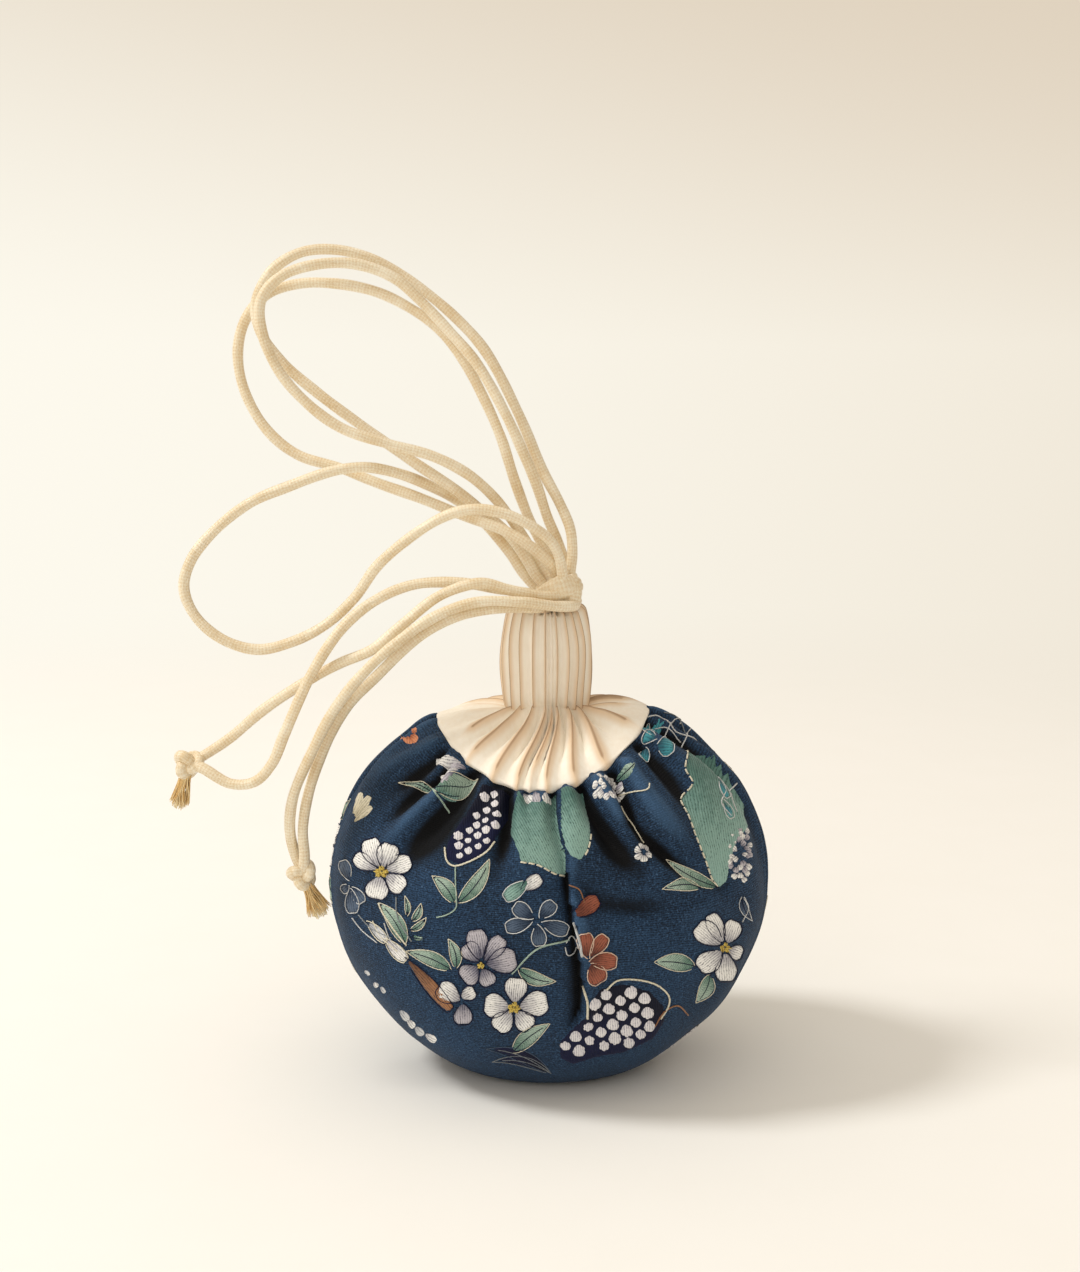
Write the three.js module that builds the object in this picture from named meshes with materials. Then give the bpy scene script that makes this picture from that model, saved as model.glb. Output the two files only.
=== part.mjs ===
// Kinchaku drawstring pouch: a stuffed round cloth body of two panels, a pleated cotton
// collar gathered into a neck, and two doubled drawcords tied in a bow on top of it.
// Millimetres, +Z up. The origin is the middle of the underside that the pouch stands on,
// -Y is the front and +X is to the right, seen from the front.
import * as THREE from 'three'

// Driving sizes of the stuffed body. "Side" is the outline along X, "front" along Y.
const bodyHalfWidth = 51
const bodyHalfDepth = 38
const bodyWidestHeight = 43
const baseHalfWidth = 20
const baseHalfDepth = 14

// How far the body's outline swells, as shares of the span from seam to widest point and
// from widest point to base
const shoulderPullOut = 0.57
const shoulderDrop = 0.1
const shoulderPullUp = 0.46
const bowlPullDown = 0.55
const bowlPullOutSide = 0.2
const bowlPullOutFront = 0.42
const bodyAroundSteps = 56
const bodyUpSteps = 11

// Top of the stuffing, hidden under the collar
const capInnerPull = 0.35
const capOuterPull = 0.74
const capOuterRise = 0.65
const capSteps = 4

// The seam between body and collar is highest at the sides and dips at front and back
const seamHalfWidth = 25.5
const seamHalfDepth = 27
const seamHeight = 82.4
const seamDip = 10.8

// Collar: a thin skirt over the shoulders, then a tube of tight pleats
const clothThickness = 0.7
const waistRise = 4.9
const waistRadius = 8.6
const neckLength = 20.3
const neckBellyRadius = 10.6
const neckTopRadius = 7.9
const mouthDepth = 1.2

// Pulls of the skirt's outline, as shares of its reach and its fall, and of the neck's
// outline, as shares of its length
const skirtSeamPullIn = 0.28
const skirtSeamPullUp = 0.42
const skirtWaistPullOut = 0.17
const skirtWaistPullDown = 0.3
const skirtSteps = 6
const neckLowPull = 0.2
const neckHighPull = 0.7
const neckSteps = 7

// Pleats run up the skirt and the neck. On the skirt their depth follows a sine, between
// these shares of half a turn at the seam and at the waist.
const pleatCount = 26
const pleatDepth = 0.45
const pleatSamples = 4
const skirtPleatDepth = 0.7
const skirtPleatAtSeam = 0.15
const skirtPleatAtWaist = 0.75

// Cords and what is tied in them
const cordDiameter = 2.4
const cordSides = 8
const cordStepLength = 7
const knotHalfWidth = 6
const knotHalfDepth = 4.6
const knotHalfHeight = 4.2
const knotOffset = 4.4
const endKnotRadius = 3.7
const endKnotHalfHeight = 3.3
const knotAroundSteps = 16
const knotUpSteps = 10
const tasselNeckRadius = 1.7
const tasselMouthRadius = 2.7
const tasselLength = 8.2
const tasselRibs = 9
const tasselSteps = 3
const tasselGrooveScale = 0.9

// Air left between pieces that touch
const gap = 0.3

// Cord routes, chosen by hand. Each loop runs from the bow knot round and back to it, and
// each tail runs from the bow knot to its end knot.
const loopRoutes = {
  loop_outer: [
    [5.5, 0, 116.8], [6, 0.5, 121], [5.5, 1, 126.5], [3, 2, 132.5], [-0.5, 3.4, 139],
    [-6.3, 4.7, 152.5], [-13.8, 6.8, 166.5], [-20.5, 8, 174], [-30, 9, 181.7],
    [-38.5, 9, 186.7], [-47, 8.5, 189.2], [-55.5, 7.5, 188.6], [-62.2, 6.5, 184.3],
    [-65.7, 5.8, 177], [-64.8, 5.3, 171], [-60, 4.3, 164.3], [-51.5, 3, 157],
    [-36, 0.3, 146], [-28.5, -0.7, 140.9], [-21, -0.9, 136], [-14, 0.8, 130.2],
    [-8.5, 2, 125], [-4.5, 1.2, 119.5], [-2.4, 0, 116]],
  loop_middle: [
    [4.5, 3.2, 116.8], [3.2, 3.6, 122], [0.3, 3, 129], [-2.3, 1, 137], [-5, -0.2, 143.5],
    [-9.3, -1, 153], [-15.5, 0, 163.7], [-21.5, 1.5, 170.7], [-28.5, 2.6, 178],
    [-34, 3, 182.7], [-42.5, 2.4, 185.8], [-52, 0.5, 185.5], [-59.3, -1, 182.7],
    [-63.3, -2, 177.7], [-63.3, -2.5, 171.5], [-59.8, -2.5, 162.5], [-53, -3, 154.7],
    [-45.5, -3.5, 149.5], [-36, -3.5, 146.3], [-25.5, -2.5, 143.3], [-17.5, -1, 139],
    [-11.5, 1.5, 133.3], [-7, 4, 127], [-3.2, 4.2, 121], [-0.5, 2.5, 116.8]],
  loop_inner: [
    [2, 4.9, 116.2], [-0.8, 6.4, 122], [-4, 6.5, 128.5], [-7.3, 5.2, 137.5],
    [-10.3, 5, 147], [-14.5, 6, 156.5], [-19.5, 7.6, 165.5], [-25, 8.7, 172],
    [-32, 9.6, 176.8], [-39, 10.1, 180], [-48, 10.5, 181.8], [-57, 10.5, 181.7],
    [-64, 10, 179.2], [-68.7, 9.4, 173.8], [-70.6, 8.8, 166.5], [-69.2, 8.3, 157.5],
    [-64, 7.4, 148.5], [-57, 6.6, 143], [-47.5, 5.2, 140.2], [-38.5, 3.4, 136.8],
    [-28.5, 1, 133.5], [-18.5, -1.6, 129.7], [-9.5, -3, 126.6], [-3.5, -3.5, 123],
    [0.5, -3, 119.3], [2, -2.1, 117]],
  loop_low: [
    [3.6, -4.7, 117], [3, -5.4, 120.5], [1, -6.2, 124.5], [-3.8, -7, 128.3],
    [-10, -7.5, 131], [-17, -7.5, 131.8], [-24.5, -7, 129.3], [-37.5, -7, 119.5],
    [-43, -7.5, 112], [-49.5, -8.5, 106], [-57, -9.5, 102.2], [-65, -10, 100.5],
    [-73, -10, 103], [-78.8, -9.5, 108.2], [-81.2, -8.6, 114.3], [-79.6, -7.6, 120.4],
    [-74.5, -6.4, 126.8], [-66.5, -5.6, 133], [-57.5, -5, 136.8], [-47.5, -4.5, 140.2],
    [-40.5, -3.8, 140.9], [-33, -1.2, 139.2], [-26, 2.3, 136], [-19.5, 3.9, 132.2],
    [-13.5, 4.8, 126.8], [-8.3, 4.6, 120.5], [-5, 3.2, 115.8]],
}
const tailRoutes = {
  tail_outer: [
    [-1.2, -5, 112], [-4.5, -6.8, 112.9], [-10, -8.2, 113.9], [-19, -8.5, 115.4],
    [-29.5, -8.3, 115], [-37.5, -9.5, 112], [-44.5, -12.5, 106.8], [-51.5, -16.3, 97],
    [-58, -17.5, 83.1], [-61.2, -17.3, 75.8], [-65.2, -17, 71.7],
    [-70.6, -16.3, 71.1], [-76.9, -15.1, 74.3]],
  tail_middle: [
    [2.6, -6.3, 112.2], [-2.5, -9.3, 112.7], [-8.5, -11.3, 114.2], [-14.5, -12.5, 115.9],
    [-23.5, -13, 113.2], [-32, -14, 106.7], [-38.5, -14.3, 101.3], [-46, -13.7, 98],
    [-54.5, -12.8, 93.2], [-63.5, -12.6, 87.2], [-71, -12.2, 80.8], [-76.9, -12, 76.8]],
  tail_inner: [
    [0.6, -6, 109.6], [-2.6, -8.3, 109.7], [-6, -10.2, 110.1], [-12.5, -12, 110],
    [-21, -12.7, 108], [-29, -13.5, 103.5], [-37, -14.5, 96], [-44.7, -15, 88],
    [-49.5, -15, 79.5], [-53.3, -15, 69], [-54.8, -15.6, 60.5], [-54.5, -16.4, 54]],
  tail_low: [
    [6, -6.3, 109.8], [2, -9.8, 110.3], [-5, -13.2, 111.7], [-15.5, -15.2, 112],
    [-24, -16.3, 109.2], [-32.5, -17.7, 103.7], [-40, -18.5, 97], [-46.5, -19, 89],
    [-52.2, -18.4, 78.5], [-56.7, -16.8, 68], [-57.8, -15.2, 60], [-56.9, -13.7, 53.8]],
}
const endKnots = {
  left: { centre: [-80.6, -13.4, 75], tilt: [-0.12, 0, -1] },
  right: { centre: [-55.2, -15, 49.6], tilt: [0.42, 0, -1] },
}

// Outlines as (distance from the axis, height)
function bezier(from, fromPull, toPull, to, steps) {
  const [a, b, c, d] = [from, fromPull, toPull, to].map(([r, z]) => new THREE.Vector2(r, z))
  return new THREE.CubicBezierCurve(a, b, c, d).getPoints(steps)
}

function joinOutlines(...outlines) {
  return outlines.flatMap((points, index) => (index === 0 ? points : points.slice(1)))
}

// A round body whose outline along X differs from its outline along Y: a lathe of the
// first outline, each point then moved to its place between the two.
function twoOutlineSolid(sideOutline, frontOutline, aroundSteps, ripple = () => 0) {
  const geometry = new THREE.LatheGeometry(sideOutline, aroundSteps)
  const position = geometry.getAttribute('position')
  const count = sideOutline.length
  const place = (outline, index, offset) => {
    const before = outline[Math.max(index - 1, 0)]
    const after = outline[Math.min(index + 1, count - 1)]
    const along = after.clone().sub(before).normalize()
    const r = outline[index].x
    return { r: r - along.y * offset, z: outline[index].y + along.x * offset }
  }
  for (let around = 0; around <= aroundSteps; around += 1) {
    const angle = (around % aroundSteps) / aroundSteps * Math.PI * 2
    const cos = Math.cos(angle)
    const sin = Math.sin(angle)
    for (let index = 0; index < count; index += 1) {
      const offset = ripple(index, angle)
      const side = place(sideOutline, index, offset)
      const front = place(frontOutline, index, offset)
      const height = side.z * cos * cos + front.z * sin * sin
      position.setXYZ(around * count + index, side.r * cos, front.r * sin, height)
    }
  }
  geometry.computeVertexNormals()
  return geometry
}

const waistHeight = seamHeight + waistRise
const neckTopHeight = waistHeight + neckLength

// From the axis out to the seam
function capOutline(seamRadius, seamDrop, lift) {
  const top = seamHeight + gap + lift
  const edge = seamHeight - seamDrop + lift
  return bezier(
    [0, top], [seamRadius * capInnerPull, top],
    [seamRadius * capOuterPull, edge + seamDrop * capOuterRise], [seamRadius, edge], capSteps)
}

// From the seam out to the widest point, and from there down to the base
function shoulderOutline(seamRadius, seamDrop, widest) {
  const edge = seamHeight - seamDrop
  const rise = edge - bodyWidestHeight
  return bezier(
    [seamRadius, edge], [seamRadius + (widest - seamRadius) * shoulderPullOut, edge - rise * shoulderDrop],
    [widest, bodyWidestHeight + rise * shoulderPullUp], [widest, bodyWidestHeight], bodyUpSteps)
}

function bowlOutline(widest, base, pullOut) {
  return bezier(
    [widest, bodyWidestHeight], [widest, bodyWidestHeight * (1 - bowlPullDown)],
    [base + (widest - base) * pullOut, 0], [base, 0], bodyUpSteps)
}

function bodyGeometry() {
  const outline = (seamRadius, seamDrop, widest, base, pullOut) => joinOutlines(
    capOutline(seamRadius, seamDrop, 0), shoulderOutline(seamRadius, seamDrop, widest),
    bowlOutline(widest, base, pullOut)).concat(new THREE.Vector2(0, 0))
  const side = outline(seamHalfWidth, 0, bodyHalfWidth, baseHalfWidth, bowlPullOutSide)
  const front = outline(seamHalfDepth, seamDip, bodyHalfDepth, baseHalfDepth, bowlPullOutFront)
  return twoOutlineSolid(side.reverse(), front.reverse(), bodyAroundSteps)
}

function skirtOutline(seamRadius, seamDrop) {
  const edge = seamHeight - seamDrop + gap + clothThickness
  const reach = seamRadius - waistRadius
  const fall = waistHeight - edge
  return bezier(
    [seamRadius, edge], [seamRadius - reach * skirtSeamPullIn, edge + fall * skirtSeamPullUp],
    [waistRadius + reach * skirtWaistPullOut, waistHeight - fall * skirtWaistPullDown],
    [waistRadius, waistHeight], skirtSteps)
}

function neckOutline() {
  return bezier(
    [waistRadius, waistHeight], [neckBellyRadius, waistHeight + neckLength * neckLowPull],
    [neckBellyRadius, waistHeight + neckLength * neckHighPull], [neckTopRadius, neckTopHeight], neckSteps)
}

function collarGeometry() {
  const outline = (seamRadius, seamDrop) => capOutline(seamRadius, seamDrop, gap).concat(
    joinOutlines(skirtOutline(seamRadius, seamDrop), neckOutline()),
    new THREE.Vector2(0, neckTopHeight - mouthDepth))
  const side = outline(seamHalfWidth, 0)
  const front = outline(seamHalfDepth, seamDip)
  const lastNeck = side.length - 2
  const firstSkirt = lastNeck - neckSteps - skirtSteps
  const depthAt = (across) => {
    if (across >= 1) return pleatDepth
    const phase = THREE.MathUtils.lerp(skirtPleatAtSeam, skirtPleatAtWaist, across)
    return skirtPleatDepth * Math.sin(Math.PI * phase)
  }
  const ripple = (index, angle) => {
    if (index <= firstSkirt || index > lastNeck) return 0
    return -depthAt((index - firstSkirt) / skirtSteps) * Math.cos(pleatCount * angle)
  }
  return twoOutlineSolid(side, front, pleatCount * pleatSamples, ripple)
}

function cordGeometry(route) {
  const curve = new THREE.CatmullRomCurve3(route.map((p) => new THREE.Vector3(...p)))
  const corners = Array.from({ length: cordSides }, (_, index) => {
    const angle = index / cordSides * Math.PI * 2
    return new THREE.Vector2(Math.cos(angle), Math.sin(angle)).multiplyScalar(cordDiameter / 2)
  })
  return new THREE.ExtrudeGeometry(new THREE.Shape(corners), {
    steps: Math.round(curve.getLength() / cordStepLength),
    extrudePath: curve,
  })
}

// A frayed cord end: a short bell with a rib for each bundle of threads
function tasselGeometry() {
  const middle = tasselLength / 2
  const bell = bezier([tasselNeckRadius, 0], [tasselNeckRadius, middle],
    [tasselMouthRadius, middle], [tasselMouthRadius, tasselLength], tasselSteps)
  const outline = [new THREE.Vector2(0, 0), ...bell, new THREE.Vector2(0, tasselLength)]
  const geometry = new THREE.LatheGeometry(outline, tasselRibs * 2)
  const position = geometry.getAttribute('position')
  for (let around = 0; around <= tasselRibs * 2; around += 1) {
    const scale = around % 2 === 0 ? 1 : tasselGrooveScale
    for (let index = 0; index < outline.length; index += 1) {
      const at = around * outline.length + index
      position.setX(at, position.getX(at) * scale)
      position.setZ(at, position.getZ(at) * scale)
    }
  }
  return geometry
}

function knotGeometry(halfWidth, halfDepth, halfHeight) {
  const ball = new THREE.SphereGeometry(1, knotAroundSteps, knotUpSteps).rotateX(Math.PI / 2)
  return ball.scale(halfWidth, halfDepth, halfHeight)
}

// Materials
const brocade = new THREE.MeshStandardMaterial({ color: 0x24406a, roughness: 0.82, metalness: 0 })
const cotton = new THREE.MeshStandardMaterial({ color: 0xf0e2cc, roughness: 0.9, metalness: 0 })
const satinCord = new THREE.MeshStandardMaterial({ color: 0xe8d5a4, roughness: 0.5, metalness: 0 })
const frayedCord = new THREE.MeshStandardMaterial({ color: 0xd9b877, roughness: 0.7, metalness: 0 })

const pouch = new THREE.Group()

function addMesh(name, geometry, material) {
  const mesh = new THREE.Mesh(geometry, material)
  mesh.name = name
  pouch.add(mesh)
  return mesh
}

addMesh('pouch_body', bodyGeometry(), brocade)
addMesh('neck_collar', collarGeometry(), cotton)

const bowKnot = addMesh('bow_knot', knotGeometry(knotHalfWidth, knotHalfDepth, knotHalfHeight), satinCord)
bowKnot.position.set(knotOffset, 0, neckTopHeight + gap + knotHalfHeight)

for (const [name, route] of Object.entries({ ...loopRoutes, ...tailRoutes })) {
  addMesh(name, cordGeometry(route), satinCord)
}

for (const [side, knot] of Object.entries(endKnots)) {
  const end = addMesh(`end_knot_${side}`,
    knotGeometry(endKnotRadius, endKnotRadius, endKnotHalfHeight), satinCord)
  end.position.set(...knot.centre)
  const down = new THREE.Vector3(...knot.tilt).normalize()
  const toSurface = 1 / Math.hypot(down.x / endKnotRadius, down.y / endKnotRadius, down.z / endKnotHalfHeight)
  const tassel = addMesh(`tassel_${side}`, tasselGeometry(), frayedCord)
  tassel.position.set(...knot.centre).addScaledVector(down, toSurface + gap)
  tassel.quaternion.setFromUnitVectors(new THREE.Vector3(0, 1, 0), down)
}

export default pouch
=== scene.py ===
import math
import random

import bpy
import numpy as np
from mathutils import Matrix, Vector
from mathutils.bvhtree import BVHTree
from mathutils.geometry import delaunay_2d_cdt


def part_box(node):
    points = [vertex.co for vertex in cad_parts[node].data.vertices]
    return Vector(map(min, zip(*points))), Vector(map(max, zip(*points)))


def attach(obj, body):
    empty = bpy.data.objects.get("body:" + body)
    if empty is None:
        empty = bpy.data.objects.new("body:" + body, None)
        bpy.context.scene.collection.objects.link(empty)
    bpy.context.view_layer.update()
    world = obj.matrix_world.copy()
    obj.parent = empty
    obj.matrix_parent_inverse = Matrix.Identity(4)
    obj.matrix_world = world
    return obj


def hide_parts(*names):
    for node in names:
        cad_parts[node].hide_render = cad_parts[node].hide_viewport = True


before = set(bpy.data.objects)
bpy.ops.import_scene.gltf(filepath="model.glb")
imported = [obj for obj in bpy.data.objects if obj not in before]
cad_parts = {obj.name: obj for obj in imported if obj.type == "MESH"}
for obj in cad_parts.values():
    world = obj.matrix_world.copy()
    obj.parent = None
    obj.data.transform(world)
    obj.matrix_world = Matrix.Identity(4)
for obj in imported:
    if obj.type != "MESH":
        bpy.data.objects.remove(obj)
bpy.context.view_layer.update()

# Everything below is worked out in millimetres, and turned to metres as a mesh is made
mm = 0.001

# The camera, with the photo's size in pixels
photo = {
    "width": 1080,
    "height": 1272,
    "focal": 1740,               # in pixels too
    "place": (-1.4, -395.0, 168.0),
    "pitch": math.radians(9.5),  # how far it looks down
}


def addObject(name, data):
    made = bpy.data.objects.new(name, data)
    bpy.context.scene.collection.objects.link(made)
    return made


def makeCamera():
    data = bpy.data.cameras.new("camera")
    data.sensor_width = 36
    data.lens = photo["focal"] / photo["height"] * data.sensor_width
    camera = addObject("camera", data)
    camera.location = Vector(photo["place"]) * mm
    camera.rotation_euler = (math.pi / 2 - photo["pitch"], 0, 0)
    bpy.context.scene.camera = camera
    print("camera placed")


# Start and direction of the line of sight through a pixel
def photoRay(u, v):
    forward = Vector((0, math.cos(photo["pitch"]), -math.sin(photo["pitch"])))
    up = Vector((0, math.sin(photo["pitch"]), math.cos(photo["pitch"])))
    across = (u - photo["width"] / 2) / photo["focal"]
    down = (v - photo["height"] / 2) / photo["focal"]
    direction = forward + Vector((1, 0, 0)) * across - up * down
    return Vector(photo["place"]), direction.normalized()


# Shader maths: a node's output that Python's own operators work on
class Value:
    def __init__(self, nodes, socket):
        self.nodes = nodes
        self.socket = socket

    def math(self, operation, *others):
        inputs = dict(enumerate((self, *others)))
        return self.nodes.node("ShaderNodeMath", {"operation": operation}, inputs)

    def __add__(self, other):
        return self.math("ADD", other)

    def __sub__(self, other):
        return self.math("SUBTRACT", other)

    def __rsub__(self, other):
        return self.math("MULTIPLY_ADD", -1, other)

    def __mul__(self, other):
        return self.math("MULTIPLY", other)

    def __truediv__(self, other):
        return self.math("DIVIDE", other)

    def sine(self):
        return self.math("SINE")

    # 0 below low, 1 above high
    def between(self, low, high):
        values = {"Value": self, "From Min": low, "From Max": high}
        return self.nodes.node("ShaderNodeMapRange", {"interpolation_type": "SMOOTHSTEP"}, values)


# A node tree, and what is put into it
class Nodes:
    def __init__(self, tree):
        self.tree = tree

    # Any node: its settings are set first, then its sockets, by name or number
    def node(self, kind, settings=None, values=None, out=0):
        made = self.tree.nodes.new(kind)
        for name, value in (settings or {}).items():
            setattr(made, name, value)
        for name, value in (values or {}).items():
            self.feed(made.inputs[name], value)
        return Value(self, made.outputs[out])

    def feed(self, socket, value):
        if isinstance(value, Value):
            self.tree.links.new(value.socket, socket)
        else:
            socket.default_value = value

    def mix(self, factor, low, high, blend="MIX"):
        settings = {"data_type": "RGBA", "blend_type": blend}
        colours = {0: factor, 6: asColour(low), 7: asColour(high)}
        return self.node("ShaderNodeMix", settings, colours, out=2)

    def place(self):
        return self.node("ShaderNodeTexCoord", out="Object")

    def attribute(self, name):
        return self.node("ShaderNodeAttribute", {"attribute_name": name}, out="Vector")

    def split(self, vector):
        parts = self.node("ShaderNodeSeparateXYZ", values={0: vector}).socket.node.outputs
        return [Value(self, parts[axis]) for axis in "XYZ"]

    def stretch(self, vector, x, y, z):
        return self.node("ShaderNodeVectorMath", {"operation": "MULTIPLY"}, {0: vector, 1: (x, y, z)})

    def noise(self, vector, scale, detail=3.0, roughness=0.5):
        values = {"Vector": vector, "Scale": scale, "Detail": detail, "Roughness": roughness}
        return self.node("ShaderNodeTexNoise", values=values)

    def bump(self, height, depth, strength):
        values = {"Height": height, "Distance": depth * mm, "Strength": strength}
        return self.node("ShaderNodeBump", values=values)


# A material around one Principled shader
class Finish(Nodes):
    def __init__(self, name, **fixed):
        self.material = bpy.data.materials.new(name)
        self.material.use_nodes = True
        super().__init__(self.material.node_tree)
        self.shader = self.tree.nodes["Principled BSDF"]
        for socket, value in fixed.items():
            self.shader.inputs[socket.replace("_", " ")].default_value = value

    def wear(self, colour, roughness=None, normal=None):
        for name, value in (("Base Color", colour), ("Roughness", roughness), ("Normal", normal)):
            if value is not None:
                self.feed(self.shader.inputs[name], value)
        return self.material


# A colour written as on screen, for a node. What isn't text is passed on as it is.
def asColour(value):
    if not isinstance(value, str):
        return value
    parts = [int(value[i:i + 2], 16) / 255 for i in (1, 3, 5)]
    return (*[c / 12.92 if c < 0.04045 else ((c + 0.055) / 1.055) ** 2.4 for c in parts], 1)


# Mesh helpers
def addPiece(name, points, faces, material, attributes=None):
    mesh = bpy.data.meshes.new(name)
    mesh.from_pydata((np.asarray(points) * mm).tolist(), [], faces)
    mesh.polygons.foreach_set("use_smooth", [True] * len(mesh.polygons))
    for key, values in (attributes or {}).items():
        attribute = mesh.attributes.new(key, "FLOAT_VECTOR", "POINT")
        attribute.data.foreach_set("vector", np.asarray(values, np.float32).ravel())
    mesh.materials.append(material)
    mesh.update()
    piece = addObject(name, mesh)
    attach(piece, "root")
    print(name, len(points), "points")
    return piece


# Faces of a grid of rows, each row a closed ring of the given count
def ringFaces(rows, around):
    faces = []
    for row in range(rows - 1):
        start = row * around
        for k in range(around):
            after = (k + 1) % around
            faces.append((start + k, start + after, start + around + after, start + around + k))
    return faces


# The same with a face over each end, flipped where the rows run downwards
def closedFaces(rows, around, flip=False):
    faces = ringFaces(rows, around)
    faces.append(tuple(reversed(range(around))))
    faces.append(tuple(range((rows - 1) * around, rows * around)))
    return [face[::-1] for face in faces] if flip else faces


# Values for a shader at each point of a grid
def layer(*values):
    return np.stack(np.broadcast_arrays(*values), -1)


# The distance run at each point of a line
def runAlong(line):
    return np.concatenate([[0], np.cumsum(np.linalg.norm(np.diff(line, axis=0), axis=1))])


def bezier(points, steps):
    u = np.linspace(0, 1, steps + 1)[:, None]
    a, b, c, d = [np.array(p, float) for p in points]
    return (1 - u) ** 3 * a + 3 * (1 - u) ** 2 * u * b + 3 * (1 - u) * u ** 2 * c + u ** 3 * d


# 0 below low, 1 above high, and softly between
def smooth(x, low, high):
    t = np.clip((np.asarray(x, float) - low) / (high - low), 0, 1)
    return t * t * (3 - 2 * t)


# A centripetal curve through the points, in even steps
def smoothLine(points, step):
    p = np.array(points, float)
    p = np.vstack([2 * p[0] - p[1], p, 2 * p[-1] - p[-2]])
    dense = []
    for k in range(len(p) - 3):
        a, b, c, d = p[k:k + 4]
        t0 = 0.0
        t1 = t0 + max(np.linalg.norm(b - a), 1e-6) ** 0.5
        t2 = t1 + max(np.linalg.norm(c - b), 1e-6) ** 0.5
        t3 = t2 + max(np.linalg.norm(d - c), 1e-6) ** 0.5
        t = np.linspace(t1, t2, 24, endpoint=False)[:, None]
        ab = (t1 - t) / (t1 - t0) * a + (t - t0) / (t1 - t0) * b
        bc = (t2 - t) / (t2 - t1) * b + (t - t1) / (t2 - t1) * c
        cd = (t3 - t) / (t3 - t2) * c + (t - t2) / (t3 - t2) * d
        abc = (t2 - t) / (t2 - t0) * ab + (t - t0) / (t2 - t0) * bc
        bcd = (t3 - t) / (t3 - t1) * bc + (t - t1) / (t3 - t1) * cd
        dense.append((t2 - t) / (t2 - t1) * abc + (t - t1) / (t2 - t1) * bcd)
    dense = np.vstack([*dense, p[-2]])
    run = runAlong(dense)
    even = np.linspace(0, run[-1], max(int(round(run[-1] / step)), 2) + 1)
    return np.stack([np.interp(even, run, dense[:, k]) for k in range(dense.shape[1])], 1)


# A tube along a line. section(along, angles) gives how far out the surface is, or how far
# sideways and outwards; start is where outwards is at first, and it turns as little as it can.
def tube(line, section, sides, start=(0.3, -1, 0.2)):
    count = len(line)
    along = runAlong(line)
    tangents = np.gradient(line, axis=0)
    tangents /= np.linalg.norm(tangents, axis=1)[:, None]
    out = np.array(start, float)
    angles = np.arange(sides) / sides * 2 * math.pi
    points = np.zeros((count, sides, 3))
    for k in range(count):
        out = out - tangents[k] * (out @ tangents[k])
        out /= np.linalg.norm(out)
        side = np.cross(tangents[k], out)
        radius = section(along[k], angles)
        wide, high = radius if isinstance(radius, tuple) else (radius, radius)
        ring = np.outer(np.cos(angles) * high, out) + np.outer(np.sin(angles) * wide, side)
        points[k] = line[k] + ring
    lay = layer(np.cos(angles), along[:, None], np.sin(angles))
    return points.reshape(-1, 3), closedFaces(count, sides), lay.reshape(-1, 3)


# Joins several (points, faces, attribute) shapes into one
def gather(shapes):
    points, faces, lay = [], [], []
    first = 0
    for shapePoints, shapeFaces, shapeLay in shapes:
        points.append(shapePoints)
        lay.append(shapeLay)
        faces += [tuple(first + k for k in face) for face in shapeFaces]
        first += len(shapePoints)
    return np.vstack(points), faces, np.vstack(lay)


makeCamera()

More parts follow.
